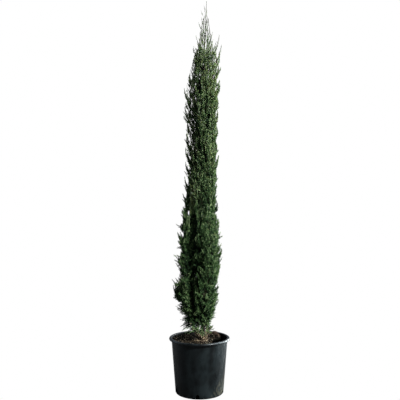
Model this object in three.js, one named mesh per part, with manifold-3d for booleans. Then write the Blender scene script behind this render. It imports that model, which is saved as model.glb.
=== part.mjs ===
// Potted Italian cypress: a slim evergreen column about 2.7 m tall in a black nursery pot.
// Millimetres, +Z up. The origin is the middle of the pot's underside, and the plant is seen from -Y.
import * as THREE from "three";
import { mergeVertices } from "three/addons/utils/BufferGeometryUtils.js";
import Module from "manifold-3d";

const wasm = await Module();
wasm.setup();

// Pot
const POT_HEIGHT = 385;
const POT_SIDES = 32;
const RIM_RADIUS = 212;
const RIM_HEIGHT = 17;
const WALL_TOP_RADIUS = 195;
const WALL_FOOT_RADIUS = 168;
const FOOT_ROUND = 12;
const WALL = 3;
const DRAIN_COUNT = 5;
const DRAIN_WIDTH = 24;
const DRAIN_HEIGHT = 34;
const DRAIN_DEPTH = 30;
const DRAIN_FIRST_TURN = THREE.MathUtils.degToRad(-94);

// Soil, and the clear space left between pieces that touch
const CLEAR = 0.3;
const SOIL_EDGE_HEIGHT = POT_HEIGHT - 36;
const SOIL_TOP_HEIGHT = SOIL_EDGE_HEIGHT + 16;
const SOIL_FLAT_RADIUS = 62;

// Trunk
const TRUNK_FOOT = SOIL_TOP_HEIGHT + CLEAR;
const TRUNK_TOP = 2440;
const TIP_HEIGHT = 2741;
const TRUNK_FOOT_X = 22;
const TRUNK_LEAN = 20;
const TRUNK_SWAY = 6;
const TRUNK_FOOT_RADIUS = 15;
const TRUNK_TOP_RADIUS = 3.2;
const FLARE_RADIUS = 12;
const FLARE_HEIGHT = 32;
const TRUNK_SIDES = 9;
const TRUNK_STEPS = 24;

// Outline of the crown seen from -Y: height, furthest left (-X) and furthest right (+X)
const OUTLINE = [
  [400, -40, 62],
  [470, -92, 82],
  [550, -122, 104],
  [630, -166, 130],
  [770, -170, 124],
  [950, -150, 150],
  [1090, -155, 143],
  [1200, -138, 136],
  [1330, -108, 114],
  [1500, -100, 120],
  [1850, -94, 124],
  [2060, -104, 130],
  [2180, -84, 128],
  [2290, -58, 122],
  [2400, -32, 112],
  [2480, -8, 94],
  [2570, 12, 78],
  [2660, 22, 64],
  [2750, 26, 60],
];

// Single tips may pass the outline by this much
const TIP_PLAY = 1.1;

// Upright plumes that make up the dense column, in tiers that are turned against each other
const SEED = 11;
const TIER_COUNT = 6;
const PLUMES_PER_TIER = 4;
const TIER_LOWEST = 396;
const TIER_HIGHEST = 2205;
const TIER_TURN = Math.PI / PLUMES_PER_TIER;
const FIRST_TURN = THREE.MathUtils.degToRad(20);
const TURN_PLAY = THREE.MathUtils.degToRad(16);
const FOOT_PLAY = 40;
const PLUME_RISE_LOW = 840;
const PLUME_RISE_HIGH = 370;
const PLUME_SPREAD = 0.66;
const PLUME_BEND_LOW = 4.4;
const PLUME_BEND_HIGH = 2.8;
const PLUME_TWIGS = 4;
const CORE_SIDES = 6;
const CORE_STEPS = 6;
const CORE_SHARE = 0.9;
const CORE_OUTER_SHARE = 0.72;
const ROOM_MOST = 96;
const ROOM_STEP = 4;

// The lowest plumes stand on bare boughs, and so do the shoots round the trunk's foot
const BOUGHS_UNDER_PLUMES = 8;
const BOUGH_SHARE = 0.11;
const SHOOT_BOUGH_SHARE = 0.5;
const BOUGH_SWELL = 1.25;

// Single plumes that stray past the column: foot and tip heights, reach from the trunk, turn in degrees
const STRAYS = [
  { foot: 470, tip: 780, reach: 216, turn: 166 },
  { foot: 830, tip: 1120, reach: 182, turn: 182 },
  { foot: 1050, tip: 1318, reach: 158, turn: 186 },
  { foot: 2270, tip: 2505, reach: 102, turn: 2 },
  { foot: 2190, tip: 2421, reach: 126, turn: -22 },
];
const STRAY_TWIGS = 2;
const STRAY_STEM_SHARE = 0.84;

// Sparse shoots from the trunk's foot: foot and tip heights, reach from the trunk, turn in degrees
const SHOOTS = [
  { foot: 398, tip: 492, reach: 148, turn: 170 },
  { foot: 404, tip: 486, reach: 112, turn: 222 },
  { foot: 392, tip: 466, reach: 88, turn: 262 },
  { foot: 400, tip: 484, reach: 92, turn: -22 },
  { foot: 408, tip: 486, reach: 106, turn: 68 },
];
const SHOOT_TWIGS = 3;
const SHOOT_STEM_SHARE = 0.66;
const LEADER_TWIGS = 3;

// Twigs and sprays of scale leaves
const STEM_RADIUS_SHARE = 0.4;
const STEM_RADIUS_MOST = 4.5;
const STEM_TIP_RADIUS = 1.2;
const TWIG_RADIUS = 2.2;
const TWIG_SWING = THREE.MathUtils.degToRad(110);
const TWIG_RUN = 0.1;
const TWIG_SHARE = 0.5;
const CORE_START = 0.06;
const TWIGS_START = 0.12;
const STEM_CLOTHED_END = 0.96;
const END_SPRAY_START = 0.9;
const SPRAY_ROOT_ON_TWIG = 0.93;
const SPRAY_LENGTH = 136;
const LOOSE_SPRAY_LENGTH = 84;
const SHOOT_SPRAY_LENGTH = 74;
const SPRAY_WIDTH_SHARE = 0.38;
const SPRAY_THICKNESS_SHARE = 0.05;
const SPRAY_FANS = [-12, 40].map(THREE.MathUtils.degToRad);
const PAIRED_SWING = THREE.MathUtils.degToRad(70);
const SPRAY_FITS = [1, 0.82, 0.66, 0.5];
const SPACE_MARGIN = 2.5;
const TRUNK_MARGIN = 2;

const { degToRad, lerp } = THREE.MathUtils;

// A repeatable number from 0 to 1 for a pair of whole numbers.
function chance(seed, n) {
  let h = Math.imul(seed + 1, 374761393) + Math.imul(n + 1, 668265263);
  h = Math.imul(h ^ (h >>> 13), 1274126177);
  return ((h ^ (h >>> 16)) >>> 0) / 4294967296;
}

// A closed geometry as a solid that can be joined and cut.
function solidOf(geometry) {
  const bare = geometry.clone();
  bare.deleteAttribute("normal");
  bare.deleteAttribute("uv");
  const merged = mergeVertices(bare);
  const triVerts = new Uint32Array(merged.index.array);
  const vertProperties = merged.getAttribute("position").array;
  return new wasm.Manifold(new wasm.Mesh({ numProp: 3, vertProperties, triVerts }));
}

// The largest body of a solid as a geometry, with any loose scrap dropped.
function geometryOf(solid) {
  const bodies = solid.decompose().sort((a, b) => b.volume() - a.volume());
  const mesh = bodies[0].getMesh();
  const geometry = new THREE.BufferGeometry();
  geometry.setAttribute("position", new THREE.BufferAttribute(mesh.vertProperties, 3));
  geometry.setIndex(new THREE.BufferAttribute(mesh.triVerts, 1));
  geometry.computeVertexNormals();
  return geometry;
}

function joined(geometries) {
  return wasm.Manifold.union(geometries.map(solidOf));
}

const LEVEL_FRAME = { across: new THREE.Vector3(1, 0, 0), beside: new THREE.Vector3(0, -1, 0) };

// The direction of a path at t, with two directions square to it.
function frameOn(pointAt, t) {
  const step = 0.002;
  const along = pointAt(Math.min(t + step, 1)).sub(pointAt(Math.max(t - step, 0))).normalize();
  const aside = Math.abs(along.x) > 0.9 ? new THREE.Vector3(0, 1, 0) : new THREE.Vector3(1, 0, 0);
  const across = aside.addScaledVector(along, -aside.dot(along)).normalize();
  return { along, across, beside: new THREE.Vector3().crossVectors(across, along) };
}

// A limb that follows a path from t = 0 to t = 1, with a radius that changes on the way and by direction.
// Its rings stand square to the path, or lie level.
function limb(pointAt, radiusAt, sides, steps, level = false) {
  const geometry = new THREE.CylinderGeometry(1, 1, 1, sides, steps);
  const position = geometry.getAttribute("position");
  for (let i = 0; i < position.count; i++) {
    const t = position.getY(i) + 0.5;
    const { across, beside } = level ? LEVEL_FRAME : frameOn(pointAt, t);
    const direction = across.clone().multiplyScalar(position.getX(i));
    direction.addScaledVector(beside, position.getZ(i));
    const point = pointAt(t).addScaledVector(direction, radiusAt(t, direction));
    position.setXYZ(i, point.x, point.y, point.z);
  }
  return geometry;
}

// The stretch of a path between two of its own shares.
function stretch(pointAt, from, to) {
  return (t) => pointAt(lerp(from, to, t));
}

// Pot: a tapered wall with a rolled rim, a rounded foot and drain slots.
function potProfile() {
  const rimFoot = POT_HEIGHT - RIM_HEIGHT;
  const rimRound = RIM_HEIGHT / 2;
  const points = [new THREE.Vector2(0, 0)];
  const footCentre = new THREE.Vector2(WALL_FOOT_RADIUS - FOOT_ROUND, FOOT_ROUND);
  for (let i = 0; i <= 2; i++) {
    const a = -Math.PI / 2 + (i * Math.PI) / 4;
    points.push(new THREE.Vector2(Math.cos(a), Math.sin(a)).multiplyScalar(FOOT_ROUND).add(footCentre));
  }
  points.push(new THREE.Vector2(WALL_TOP_RADIUS, rimFoot));
  const rimCentre = new THREE.Vector2(RIM_RADIUS - rimRound, POT_HEIGHT - rimRound);
  for (let i = 0; i <= 4; i++) {
    const a = -Math.PI / 2 + (i * Math.PI) / 4;
    points.push(new THREE.Vector2(Math.cos(a), Math.sin(a)).multiplyScalar(rimRound).add(rimCentre));
  }
  points.push(new THREE.Vector2(WALL_TOP_RADIUS - WALL, POT_HEIGHT - WALL));
  points.push(new THREE.Vector2(WALL_FOOT_RADIUS - WALL, FOOT_ROUND + WALL));
  points.push(new THREE.Vector2(WALL_FOOT_RADIUS - FOOT_ROUND, WALL));
  points.push(new THREE.Vector2(0, WALL));
  return points;
}

function turned(profile, sides) {
  return new THREE.LatheGeometry(profile, sides).rotateX(Math.PI / 2);
}

function drainSlot(turn) {
  const half = DRAIN_WIDTH / 2;
  const shape = new THREE.Shape();
  shape.moveTo(-half, -half);
  shape.lineTo(half, -half);
  shape.lineTo(half, DRAIN_HEIGHT - half);
  shape.absarc(0, DRAIN_HEIGHT - half, half, 0, Math.PI);
  const cut = { depth: DRAIN_DEPTH, bevelEnabled: false, curveSegments: 4 };
  const slot = new THREE.ExtrudeGeometry(shape, cut);
  slot.rotateX(Math.PI / 2).translate(0, DRAIN_DEPTH / 2, 0);
  slot.rotateZ(-Math.PI / 2).translate(WALL_FOOT_RADIUS, 0, 0);
  return slot.rotateZ(turn);
}

function potGeometry() {
  let pot = solidOf(turned(potProfile(), POT_SIDES));
  for (let i = 0; i < DRAIN_COUNT; i++) {
    const turn = DRAIN_FIRST_TURN + (i * 2 * Math.PI) / DRAIN_COUNT;
    pot = pot.subtract(solidOf(drainSlot(turn)));
  }
  return geometryOf(pot);
}

// Soil: fills the pot to below its rim and rises to a flat round under the trunk.
function soilGeometry() {
  const rise = (SOIL_EDGE_HEIGHT - FOOT_ROUND) / (POT_HEIGHT - FOOT_ROUND - WALL);
  const edge = lerp(WALL_FOOT_RADIUS, WALL_TOP_RADIUS, rise) - WALL - 2 * CLEAR;
  const floor = WALL + CLEAR;
  return turned(
    [
      new THREE.Vector2(0, floor),
      new THREE.Vector2(WALL_FOOT_RADIUS - FOOT_ROUND - CLEAR, floor),
      new THREE.Vector2(WALL_FOOT_RADIUS - WALL - 2 * CLEAR, FOOT_ROUND + WALL + CLEAR),
      new THREE.Vector2(edge, SOIL_EDGE_HEIGHT),
      new THREE.Vector2(lerp(SOIL_FLAT_RADIUS, edge, 0.6), lerp(SOIL_TOP_HEIGHT, SOIL_EDGE_HEIGHT, 0.75)),
      new THREE.Vector2(SOIL_FLAT_RADIUS, SOIL_TOP_HEIGHT),
      new THREE.Vector2(0, SOIL_TOP_HEIGHT),
    ],
    POT_SIDES,
  );
}

// Trunk: leans and sways a little, and flares where it stands on the soil.
function trunkAt(height) {
  const share = (height - TRUNK_FOOT) / (TIP_HEIGHT - TRUNK_FOOT);
  return new THREE.Vector3(
    TRUNK_FOOT_X + TRUNK_LEAN * share + TRUNK_SWAY * Math.sin(2 * Math.PI * share),
    TRUNK_SWAY * Math.sin(1.5 * Math.PI * share),
    height,
  );
}

function trunkRadius(height) {
  const share = (height - TRUNK_FOOT) / (TRUNK_TOP - TRUNK_FOOT);
  const flare = FLARE_RADIUS * Math.exp(-(height - TRUNK_FOOT) / FLARE_HEIGHT);
  return lerp(TRUNK_FOOT_RADIUS, TRUNK_TOP_RADIUS, share) + flare;
}

// The steps are short at the flare and long above it.
function trunkHeight(t) {
  return lerp(TRUNK_FOOT, TRUNK_TOP, t ** 1.6);
}

function trunkGeometry(extra) {
  return limb(
    (t) => trunkAt(trunkHeight(t)),
    (t) => trunkRadius(trunkHeight(t)) + extra,
    TRUNK_SIDES,
    TRUNK_STEPS,
    true,
  );
}

// The crown's middle and half width at a height, read off its outline.
function crownAt(height) {
  const last = OUTLINE.length - 1;
  const above = OUTLINE.findIndex(([z]) => z > height);
  const i = THREE.MathUtils.clamp(above < 0 ? last : above, 1, last);
  const [z0, left0, right0] = OUTLINE[i - 1];
  const [z1, left1, right1] = OUTLINE[i];
  const share = THREE.MathUtils.clamp((height - z0) / (z1 - z0), 0, 1);
  const left = lerp(left0, left1, share);
  const right = lerp(right0, right1, share);
  return { middle: (left + right) / 2, half: (TIP_PLAY * (right - left)) / 2 };
}

// How far the crown's outline is from the trunk's axis, at a height and in a direction.
function crownReach(height, turn) {
  const { middle, half } = crownAt(height);
  const off = trunkAt(height).x - middle;
  const along = off * Math.cos(turn);
  return Math.sqrt(Math.max(along * along - off * off + half * half, 0)) - along;
}

function fromTrunk(height, turn, reach) {
  return trunkAt(height).add(new THREE.Vector3(reach * Math.cos(turn), reach * Math.sin(turn), 0));
}

// The stem of each mass: where it runs, how much room it takes, and what it carries.
function plumeStem(i) {
  const tier = Math.floor(i / PLUMES_PER_TIER);
  const share = tier / (TIER_COUNT - 1);
  const foot = lerp(TIER_LOWEST, TIER_HIGHEST, share) + FOOT_PLAY * chance(SEED, i);
  const rise = lerp(PLUME_RISE_LOW, PLUME_RISE_HIGH, share) * (0.92 + 0.16 * chance(SEED, 100 + i));
  const bend = lerp(PLUME_BEND_LOW, PLUME_BEND_HIGH, Math.sqrt(share));
  const evenTurn = FIRST_TURN + tier * TIER_TURN + (i * 2 * Math.PI) / PLUMES_PER_TIER;
  const turn = evenTurn + TURN_PLAY * (chance(SEED, 200 + i) - 0.5);
  return {
    name: `plume_${String(i + 1).padStart(2, "0")}`,
    pointAt(t) {
      const height = foot + rise * t;
      const spread = PLUME_SPREAD * (1 - (1 - t) ** bend);
      return fromTrunk(height, turn, spread * crownReach(height, turn));
    },
    reachAt: crownReach,
    boughShare: i < BOUGHS_UNDER_PLUMES ? BOUGH_SHARE : 0,
    weight: 1,
    twigs: PLUME_TWIGS,
    sprayLength: SPRAY_LENGTH,
    dense: true,
    seed: SEED + 100 * (i + 1),
  };
}

function looseStem(kind, entry, i, { twigs, sprayLength, stemShare, boughShare }) {
  return {
    name: `${kind}_${String(i + 1).padStart(2, "0")}`,
    pointAt(t) {
      const height = lerp(entry.foot, entry.tip - 0.5 * sprayLength, t);
      return fromTrunk(height, degToRad(entry.turn), stemShare * entry.reach * t ** 0.85);
    },
    reachAt: () => entry.reach,
    boughShare,
    weight: 0.7,
    twigs,
    sprayLength,
    dense: false,
    seed: SEED + 100 * (i + 1) + (kind === "stray" ? 5000 : 9000),
  };
}

function leaderStem() {
  return {
    name: "leader",
    pointAt: (t) => trunkAt(lerp(TRUNK_TOP + CLEAR, TIP_HEIGHT - 0.73 * LOOSE_SPRAY_LENGTH, t)),
    reachAt: crownReach,
    boughShare: 0,
    weight: 0.8,
    twigs: LEADER_TWIGS,
    sprayLength: LOOSE_SPRAY_LENGTH,
    dense: false,
    seed: SEED + 20000,
  };
}

const STRAY_HABIT = {
  twigs: STRAY_TWIGS,
  sprayLength: LOOSE_SPRAY_LENGTH,
  stemShare: STRAY_STEM_SHARE,
  boughShare: 0,
};
const SHOOT_HABIT = {
  twigs: SHOOT_TWIGS,
  sprayLength: SHOOT_SPRAY_LENGTH,
  stemShare: SHOOT_STEM_SHARE,
  boughShare: SHOOT_BOUGH_SHARE,
};
const stems = [
  ...Array.from({ length: TIER_COUNT * PLUMES_PER_TIER }, (_, i) => plumeStem(i)),
  ...STRAYS.map((entry, i) => looseStem("stray", entry, i, STRAY_HABIT)),
  ...SHOOTS.map((entry, i) => looseStem("shoot", entry, i, SHOOT_HABIT)),
  leaderStem(),
];
const LINES_PER_STEM = 12;
for (const stem of stems) {
  stem.lines = Array.from(
    { length: LINES_PER_STEM },
    (_, i) => new THREE.Line3(stem.pointAt(i / LINES_PER_STEM), stem.pointAt((i + 1) / LINES_PER_STEM)),
  );
  stem.length = stem.lines.reduce((sum, line) => sum + line.distance(), 0);
}

function distanceToStem(point, stem) {
  const nearest = new THREE.Vector3();
  let distance = Infinity;
  for (const line of stem.lines) {
    line.closestPointToPoint(point, true, nearest);
    distance = Math.min(distance, nearest.distanceTo(point));
  }
  return distance;
}

function distanceToTrunk(point) {
  const height = THREE.MathUtils.clamp(point.z, TRUNK_FOOT, TRUNK_TOP);
  return point.distanceTo(trunkAt(height)) - trunkRadius(height);
}

// A mass keeps to the points that are nearer to its own stem than to any other, and clear of the trunk.
function inOwnSpace(point, stem) {
  const own = distanceToStem(point, stem) / stem.weight;
  if (stem.name !== "leader" && distanceToTrunk(point) < TRUNK_MARGIN) return false;
  if (point.z < SOIL_TOP_HEIGHT + TRUNK_MARGIN) return false;
  if (point.z > TIP_HEIGHT) return false;
  const outward = point.clone().sub(trunkAt(point.z));
  const turn = Math.atan2(outward.y, outward.x);
  if (Math.hypot(outward.x, outward.y) > stem.reachAt(point.z, turn)) return false;
  return stems.every((other) => {
    if (other === stem) return true;
    return own + 2 * SPACE_MARGIN < distanceToStem(point, other) / other.weight;
  });
}

// How far a mass's own space runs from a point in one direction.
function roomFrom(stem, point, direction) {
  const probe = new THREE.Vector3();
  for (let room = ROOM_STEP; room <= ROOM_MOST; room += ROOM_STEP) {
    if (!inOwnSpace(probe.copy(point).addScaledVector(direction, room), stem)) return room - ROOM_STEP;
  }
  return ROOM_MOST;
}

// A spray of scale leaves: a three-pointed blade, thickest at its heart.
function sprayPoints(root, along, facing, length) {
  const beside = new THREE.Vector3().crossVectors(facing, along).normalize();
  const width = length * SPRAY_WIDTH_SHARE;
  const at = (forward, aside) =>
    root.clone().addScaledVector(along, forward * length).addScaledVector(beside, aside * width);
  const heart = at(0.36, 0);
  const face = new THREE.Vector3().crossVectors(along, beside);
  const half = (length * SPRAY_THICKNESS_SHARE) / 2;
  const rim = [at(0, 0), at(0.64, 0.5), at(0.56, 0.15), at(1, 0), at(0.5, -0.15), at(0.56, -0.5)];
  return [...rim, heart.clone().addScaledVector(face, half), heart.addScaledVector(face, -half)];
}

function sprayGeometry(points) {
  const rim = points.length - 2;
  const faces = [];
  for (let i = 0; i < rim; i++) {
    const next = (i + 1) % rim;
    faces.push(next, i, rim, i, next, rim + 1);
  }
  const geometry = new THREE.BufferGeometry().setFromPoints(points);
  geometry.setIndex(faces);
  return geometry;
}

// The longest spray that stays in its mass's own space, or nothing.
function fittedSpray(stem, root, along, facing, length) {
  for (const fit of SPRAY_FITS) {
    const points = sprayPoints(root, along, facing, length * fit);
    if (points.slice(1).every((point) => inOwnSpace(point, stem))) return [sprayGeometry(points)];
  }
  return [];
}

// The direction square to a stem that is turned by a swing from outward.
function sidewaysOf(stem, t, swing) {
  const { along } = frameOn(stem.pointAt, t);
  const outward = stem.pointAt(t).sub(trunkAt(stem.pointAt(t).z));
  if (outward.lengthSq() < 1) outward.set(0, -1, 0);
  outward.addScaledVector(along, -outward.dot(along)).normalize();
  return outward.applyAxisAngle(along, swing);
}

// A point near the edge of a mass's space, further up its stem.
function edgeAhead(stem, t, swing, run) {
  const ahead = t + run / stem.length;
  const end = Math.min(ahead, 1);
  const sideways = sidewaysOf(stem, end, swing);
  const point = stem.pointAt(end);
  const room = roomFrom(stem, point, sideways);
  point.addScaledVector(sideways, room);
  return point.addScaledVector(frameOn(stem.pointAt, end).along, (ahead - end) * stem.length);
}

// A twig rises from the stem, and sprays reach from its tip to the edge of the space: two on the crown's
// outer side, one where it faces its neighbours.
function twigWithSprays(stem, k, from) {
  const t = lerp(from + TWIG_RUN, STEM_CLOTHED_END, (k + chance(stem.seed, k + 40)) / stem.twigs);
  const swing = TWIG_SWING * (2 * ((k * 0.618 + 0.5) % 1) - 1 + 0.3 * (chance(stem.seed, 1) - 0.5));
  const side = chance(stem.seed, k + 20) < 0.5 ? -1 : 1;
  const sideways = sidewaysOf(stem, t, swing);
  const tip = stem.pointAt(t);
  tip.addScaledVector(sideways, TWIG_SHARE * roomFrom(stem, tip, sideways));
  const foot = stem.pointAt(t - TWIG_RUN);
  const twigAt = (u) => foot.clone().lerp(tip, u);
  const made = [limb(twigAt, (u) => lerp(TWIG_RADIUS, STEM_TIP_RADIUS, u), 3, 1)];
  const fans = Math.abs(swing) < PAIRED_SWING ? SPRAY_FANS : SPRAY_FANS.slice(0, 1);
  for (const fan of fans) {
    const along = edgeAhead(stem, t, swing + side * fan, stem.sprayLength).sub(tip).normalize();
    const facing = sideways.clone().addScaledVector(along, -sideways.dot(along)).normalize();
    made.push(...fittedSpray(stem, twigAt(SPRAY_ROOT_ON_TWIG), along, facing, stem.sprayLength));
  }
  return made;
}

// The dense heart of a plume, as wide as its own space allows.
function coreGeometry(stem, from) {
  const pointAt = stretch(stem.pointAt, from, STEM_CLOTHED_END);
  const radiusAt = (t, direction) => {
    const point = pointAt(t);
    const outward = point.clone().sub(trunkAt(point.z)).normalize().dot(direction);
    const share = lerp(CORE_SHARE, CORE_OUTER_SHARE, Math.max(outward, 0));
    const taper = Math.min(0.45 + 5 * t, 1) * (1 - t ** 4) ** 0.6;
    return Math.max(share * taper * roomFrom(stem, point, direction), STEM_TIP_RADIUS);
  };
  return limb(pointAt, radiusAt, CORE_SIDES, CORE_STEPS);
}

function stemRadius(stem, t) {
  const most = Math.min(STEM_RADIUS_MOST, STEM_RADIUS_SHARE * trunkRadius(stem.pointAt(0).z));
  return lerp(Math.max(most, STEM_TIP_RADIUS), STEM_TIP_RADIUS, t);
}

function massSolid(stem) {
  const from = stem.boughShare;
  const made = [limb(stretch(stem.pointAt, from, 1), (t) => stemRadius(stem, lerp(from, 1, t)), 5, 6)];
  if (stem.dense) made.push(coreGeometry(stem, from + CORE_START));
  for (let k = 0; k < stem.twigs; k++) made.push(...twigWithSprays(stem, k, from + TWIGS_START));
  const { along } = frameOn(stem.pointAt, 1);
  const facing = new THREE.Vector3(0, -1, 0).applyAxisAngle(along, chance(stem.seed, 7) * Math.PI);
  facing.addScaledVector(along, -facing.dot(along)).normalize();
  made.push(...fittedSpray(stem, stem.pointAt(END_SPRAY_START), along, facing, stem.sprayLength));
  return joined(made);
}

// A bough runs from the trunk to where it enters its mass.
function boughGeometry(stem) {
  const length = stem.pointAt(0).distanceTo(stem.pointAt(stem.boughShare));
  const boughAt = stretch(stem.pointAt, 0, stem.boughShare * (1 - CLEAR / length));
  const radiusAt = (t) => lerp(BOUGH_SWELL, 1, t) * stemRadius(stem, stem.boughShare * t);
  return limb(boughAt, radiusAt, 6, 4);
}

const plastic = new THREE.MeshStandardMaterial({ color: 0x23282a, roughness: 0.5 });
const earth = new THREE.MeshStandardMaterial({ color: 0x33291f, roughness: 1 });
const bark = new THREE.MeshStandardMaterial({ color: 0x7b6a55, roughness: 0.95 });
const leaf = new THREE.MeshStandardMaterial({ color: 0x3f5a36, roughness: 0.8, flatShading: true });

function named(name, geometry, material) {
  const mesh = new THREE.Mesh(geometry, material);
  mesh.name = name;
  return mesh;
}

const container = new THREE.Group();
container.add(named("pot", potGeometry(), plastic), named("soil", soilGeometry(), earth));

const wood = new THREE.Group();
const trunkRoom = solidOf(trunkGeometry(CLEAR));
wood.add(named("trunk", trunkGeometry(0), bark));
const foliage = new THREE.Group();
for (const stem of stems) {
  if (stem.boughShare > 0) {
    const bough = solidOf(boughGeometry(stem)).subtract(trunkRoom);
    wood.add(named(`bough_${stem.name}`, geometryOf(bough), bark));
  }
  foliage.add(named(stem.name, geometryOf(massSolid(stem).subtract(trunkRoom)), leaf));
}

const plant = new THREE.Group();
plant.add(container, wood, foliage);

export default plant;
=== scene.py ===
"""Potted Italian cypress: foliage, bark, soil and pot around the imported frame.

Sizes are millimetres until a mesh is made, and metres in materials and in the studio. The plant is seen
from -Y, with +X to the right.
"""
import math

import bmesh
import bpy
import numpy as np
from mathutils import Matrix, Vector


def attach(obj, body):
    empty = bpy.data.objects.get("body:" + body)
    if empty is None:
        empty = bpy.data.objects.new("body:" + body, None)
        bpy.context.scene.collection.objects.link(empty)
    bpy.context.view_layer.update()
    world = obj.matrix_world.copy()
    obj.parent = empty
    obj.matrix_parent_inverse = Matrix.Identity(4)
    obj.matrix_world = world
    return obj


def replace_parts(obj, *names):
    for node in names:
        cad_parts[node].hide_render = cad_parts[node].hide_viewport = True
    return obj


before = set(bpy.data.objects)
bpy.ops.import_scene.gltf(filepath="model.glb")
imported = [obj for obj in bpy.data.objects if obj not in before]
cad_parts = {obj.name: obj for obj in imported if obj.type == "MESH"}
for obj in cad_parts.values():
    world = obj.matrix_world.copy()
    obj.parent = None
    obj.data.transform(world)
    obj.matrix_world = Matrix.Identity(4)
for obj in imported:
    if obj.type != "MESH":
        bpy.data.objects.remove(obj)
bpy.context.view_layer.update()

METRE = 0.001
UP = np.array([0.0, 0.0, 1.0])
ASIDE = np.array([1.0, 0.0, 0.0])
GOLDEN_TURN = math.radians(137.508)
SEED = 11
LEAF_SEED = 25
SOIL_SEED = 13

# Pot
POT_HEIGHT = 385.0
RIM_RADIUS = 212.0
RIM_HEIGHT = 17.0
WALL_TOP_RADIUS = 195.0
WALL_FOOT_RADIUS = 168.0
WALL = 3.0
FOOT_ROUND = 12.0
UNDERSIDE_INSET = 14.0
LIP_ROUND = 6.0
POT_SIDES = 192
POT_CREASE = 40
DRAIN_COUNT = 5
DRAIN_WIDTH = 24.0
DRAIN_HEIGHT = 34.0
DRAIN_LIP = 3.0
DRAIN_INSIDE, DRAIN_OUTSIDE = -22.0, 16.0
DRAIN_FIRST_TURN = math.radians(-94)
PLASTIC = (0.0026, 0.0038, 0.0041)
PLASTIC_GLOSS = (0.92, 1.0, 1.03)
INNER_WALL = (0.0034, 0.0033, 0.0030)
DUST = (0.085, 0.078, 0.052)
DUST_SIDE = (0.97, -0.2, -0.5)
DUST_FROM, DUST_TO = 0.085, 0.19

# Soil, with a rise on its left, a hollow on its right and a heap at its back right
CLEAR = 0.3
SOIL_EDGE_HEIGHT = 349.0
SOIL_TOP_HEIGHT = 365.0
SOIL_FLAT_RADIUS = 62.0
SOIL_EDGE_RADIUS = 189.0
SOIL_FOOT_RADIUS = 164.4
SOIL_SIDES, SOIL_RINGS = 144, 54
SOIL_SWELL, SOIL_SWELL_SIZE = 4.0, 34.0
SOIL_GRAIN, SOIL_GRAIN_SIZE = 2.6, 9.0
RISE_HEIGHT = 20.0
RISE_NEAR, RISE_FAR = 70.0, 160.0
RISE_RIGHT, RISE_LEFT = 20.0, -100.0
HOLLOW_DEPTH = 86.0
HOLLOW_SLOPE = 15.0
HOLLOW_PLAY, HOLLOW_PLAY_SIZE = 12.0, 24.0
HOLLOW_EDGE = np.array([[-190, 44], [-60, 72], [24, 88], [66, 110], [90, 144], [112, 200]], float)
HEAP_X, HEAP_Y, HEAP_HEIGHT = 112.0, 130.0, 37.0
HEAP_WIDE, HEAP_DEEP = 60.0, 38.0
SOIL = (0.02, 0.015, 0.011)
SOIL_STOPS = [(0.34, (0.002, 0.002, 0.0017)), (0.55, (0.0042, 0.004, 0.0034)), (0.72, (0.013, 0.0118, 0.009))]
# Painted shade: below these heights the soil turns near black, standing in for the shadow in the hollow
HOLLOW_SHADE_STOPS = [(0.343, (0.04, 0.04, 0.04)), (0.355, (1, 1, 1))]

# What lies on the soil above the painted shade of the hollow: crumbs by name, count, sizes and colour,
# straw by name, count, colour and share on the heap
SOIL_ABOVE_SHADE = 344.0
SOIL_MARGIN = 8.0
CRUMBS = [
    ("crumbs_dark", 1000, (2.5, 7.5), (0.006, 0.0053, 0.0045)),
    ("crumbs_brown", 520, (2.5, 8.0), (0.024, 0.0185, 0.0125)),
    ("crumbs_tan", 300, (1.6, 4.6), (0.18, 0.155, 0.11)),
]
CRUMB_SHAPE = np.array([1.3, 0.9, 0.6])
STRAWS = [
    ("straw_pale", 26, (0.24, 0.19, 0.12), 0.06),
    ("straw_tan", 66, (0.058, 0.041, 0.023), 0.2),
    ("straw_russet", 190, (0.034, 0.020, 0.013), 0.6),
]
STRAW_X, STRAW_Y, STRAW_REACH = 10.0, -16.0, 50.0
STRAW_SHORT, STRAW_LONG, STRAW_ON_HEAP = 16.0, 58.0, 0.6
STRAW_THIN, STRAW_THICK = 0.8, 1.7
STRAW_TAPER = np.array([0.7, 1, 1, 0.5])
STRAW_PILE, STRAW_PILE_REACH = 12.0, 40.0
HEAP_PILE, HEAP_PILE_REACH = 10.0, 60.0
HEAP_STRAW_WIDE, HEAP_STRAW_DEEP = 34.0, 14.0

# Trunk, leader and bark
TRUNK_FOOT = 365.3
TRUNK_TOP = 2440.0
TIP_HEIGHT = 2741.0
TRUNK_FOOT_X = 22.0
TRUNK_LEAN = 20.0
TRUNK_SWAY = 6.0
TRUNK_FOOT_RADIUS = 15.0
TRUNK_TOP_RADIUS = 3.2
FLARE_RADIUS = 4.0
FLARE_HEIGHT = 32.0
TRUNK_RINGS, TRUNK_SIDES, TRUNK_RELIEF = 420, 36, 0.22
BOUGH_RINGS, BOUGH_SIDES, BOUGH_RELIEF = 40, 14, 0.2
BOUGH_SWELL = 1.25
FURROW_ROUND, FURROW_LENGTH = 2.2, 45.0
FURROW_COARSE, FURROW_FINE, FURROW_LEVEL = 1.6, 3.7, 0.35
LEADER_BOW = np.array([7.0, 0.0, 0.0])
LEADER_GIRTH = 0.85
LEADER_SPRAY = 1.2
LEADER_SHORT = 8.0
BARK = ((0.014, 0.010, 0.008), (0.036, 0.026, 0.019), (0.085, 0.064, 0.046))
YOUNG_BARK = ((0.13, 0.095, 0.06), (0.26, 0.20, 0.13), (0.42, 0.34, 0.23))

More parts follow.
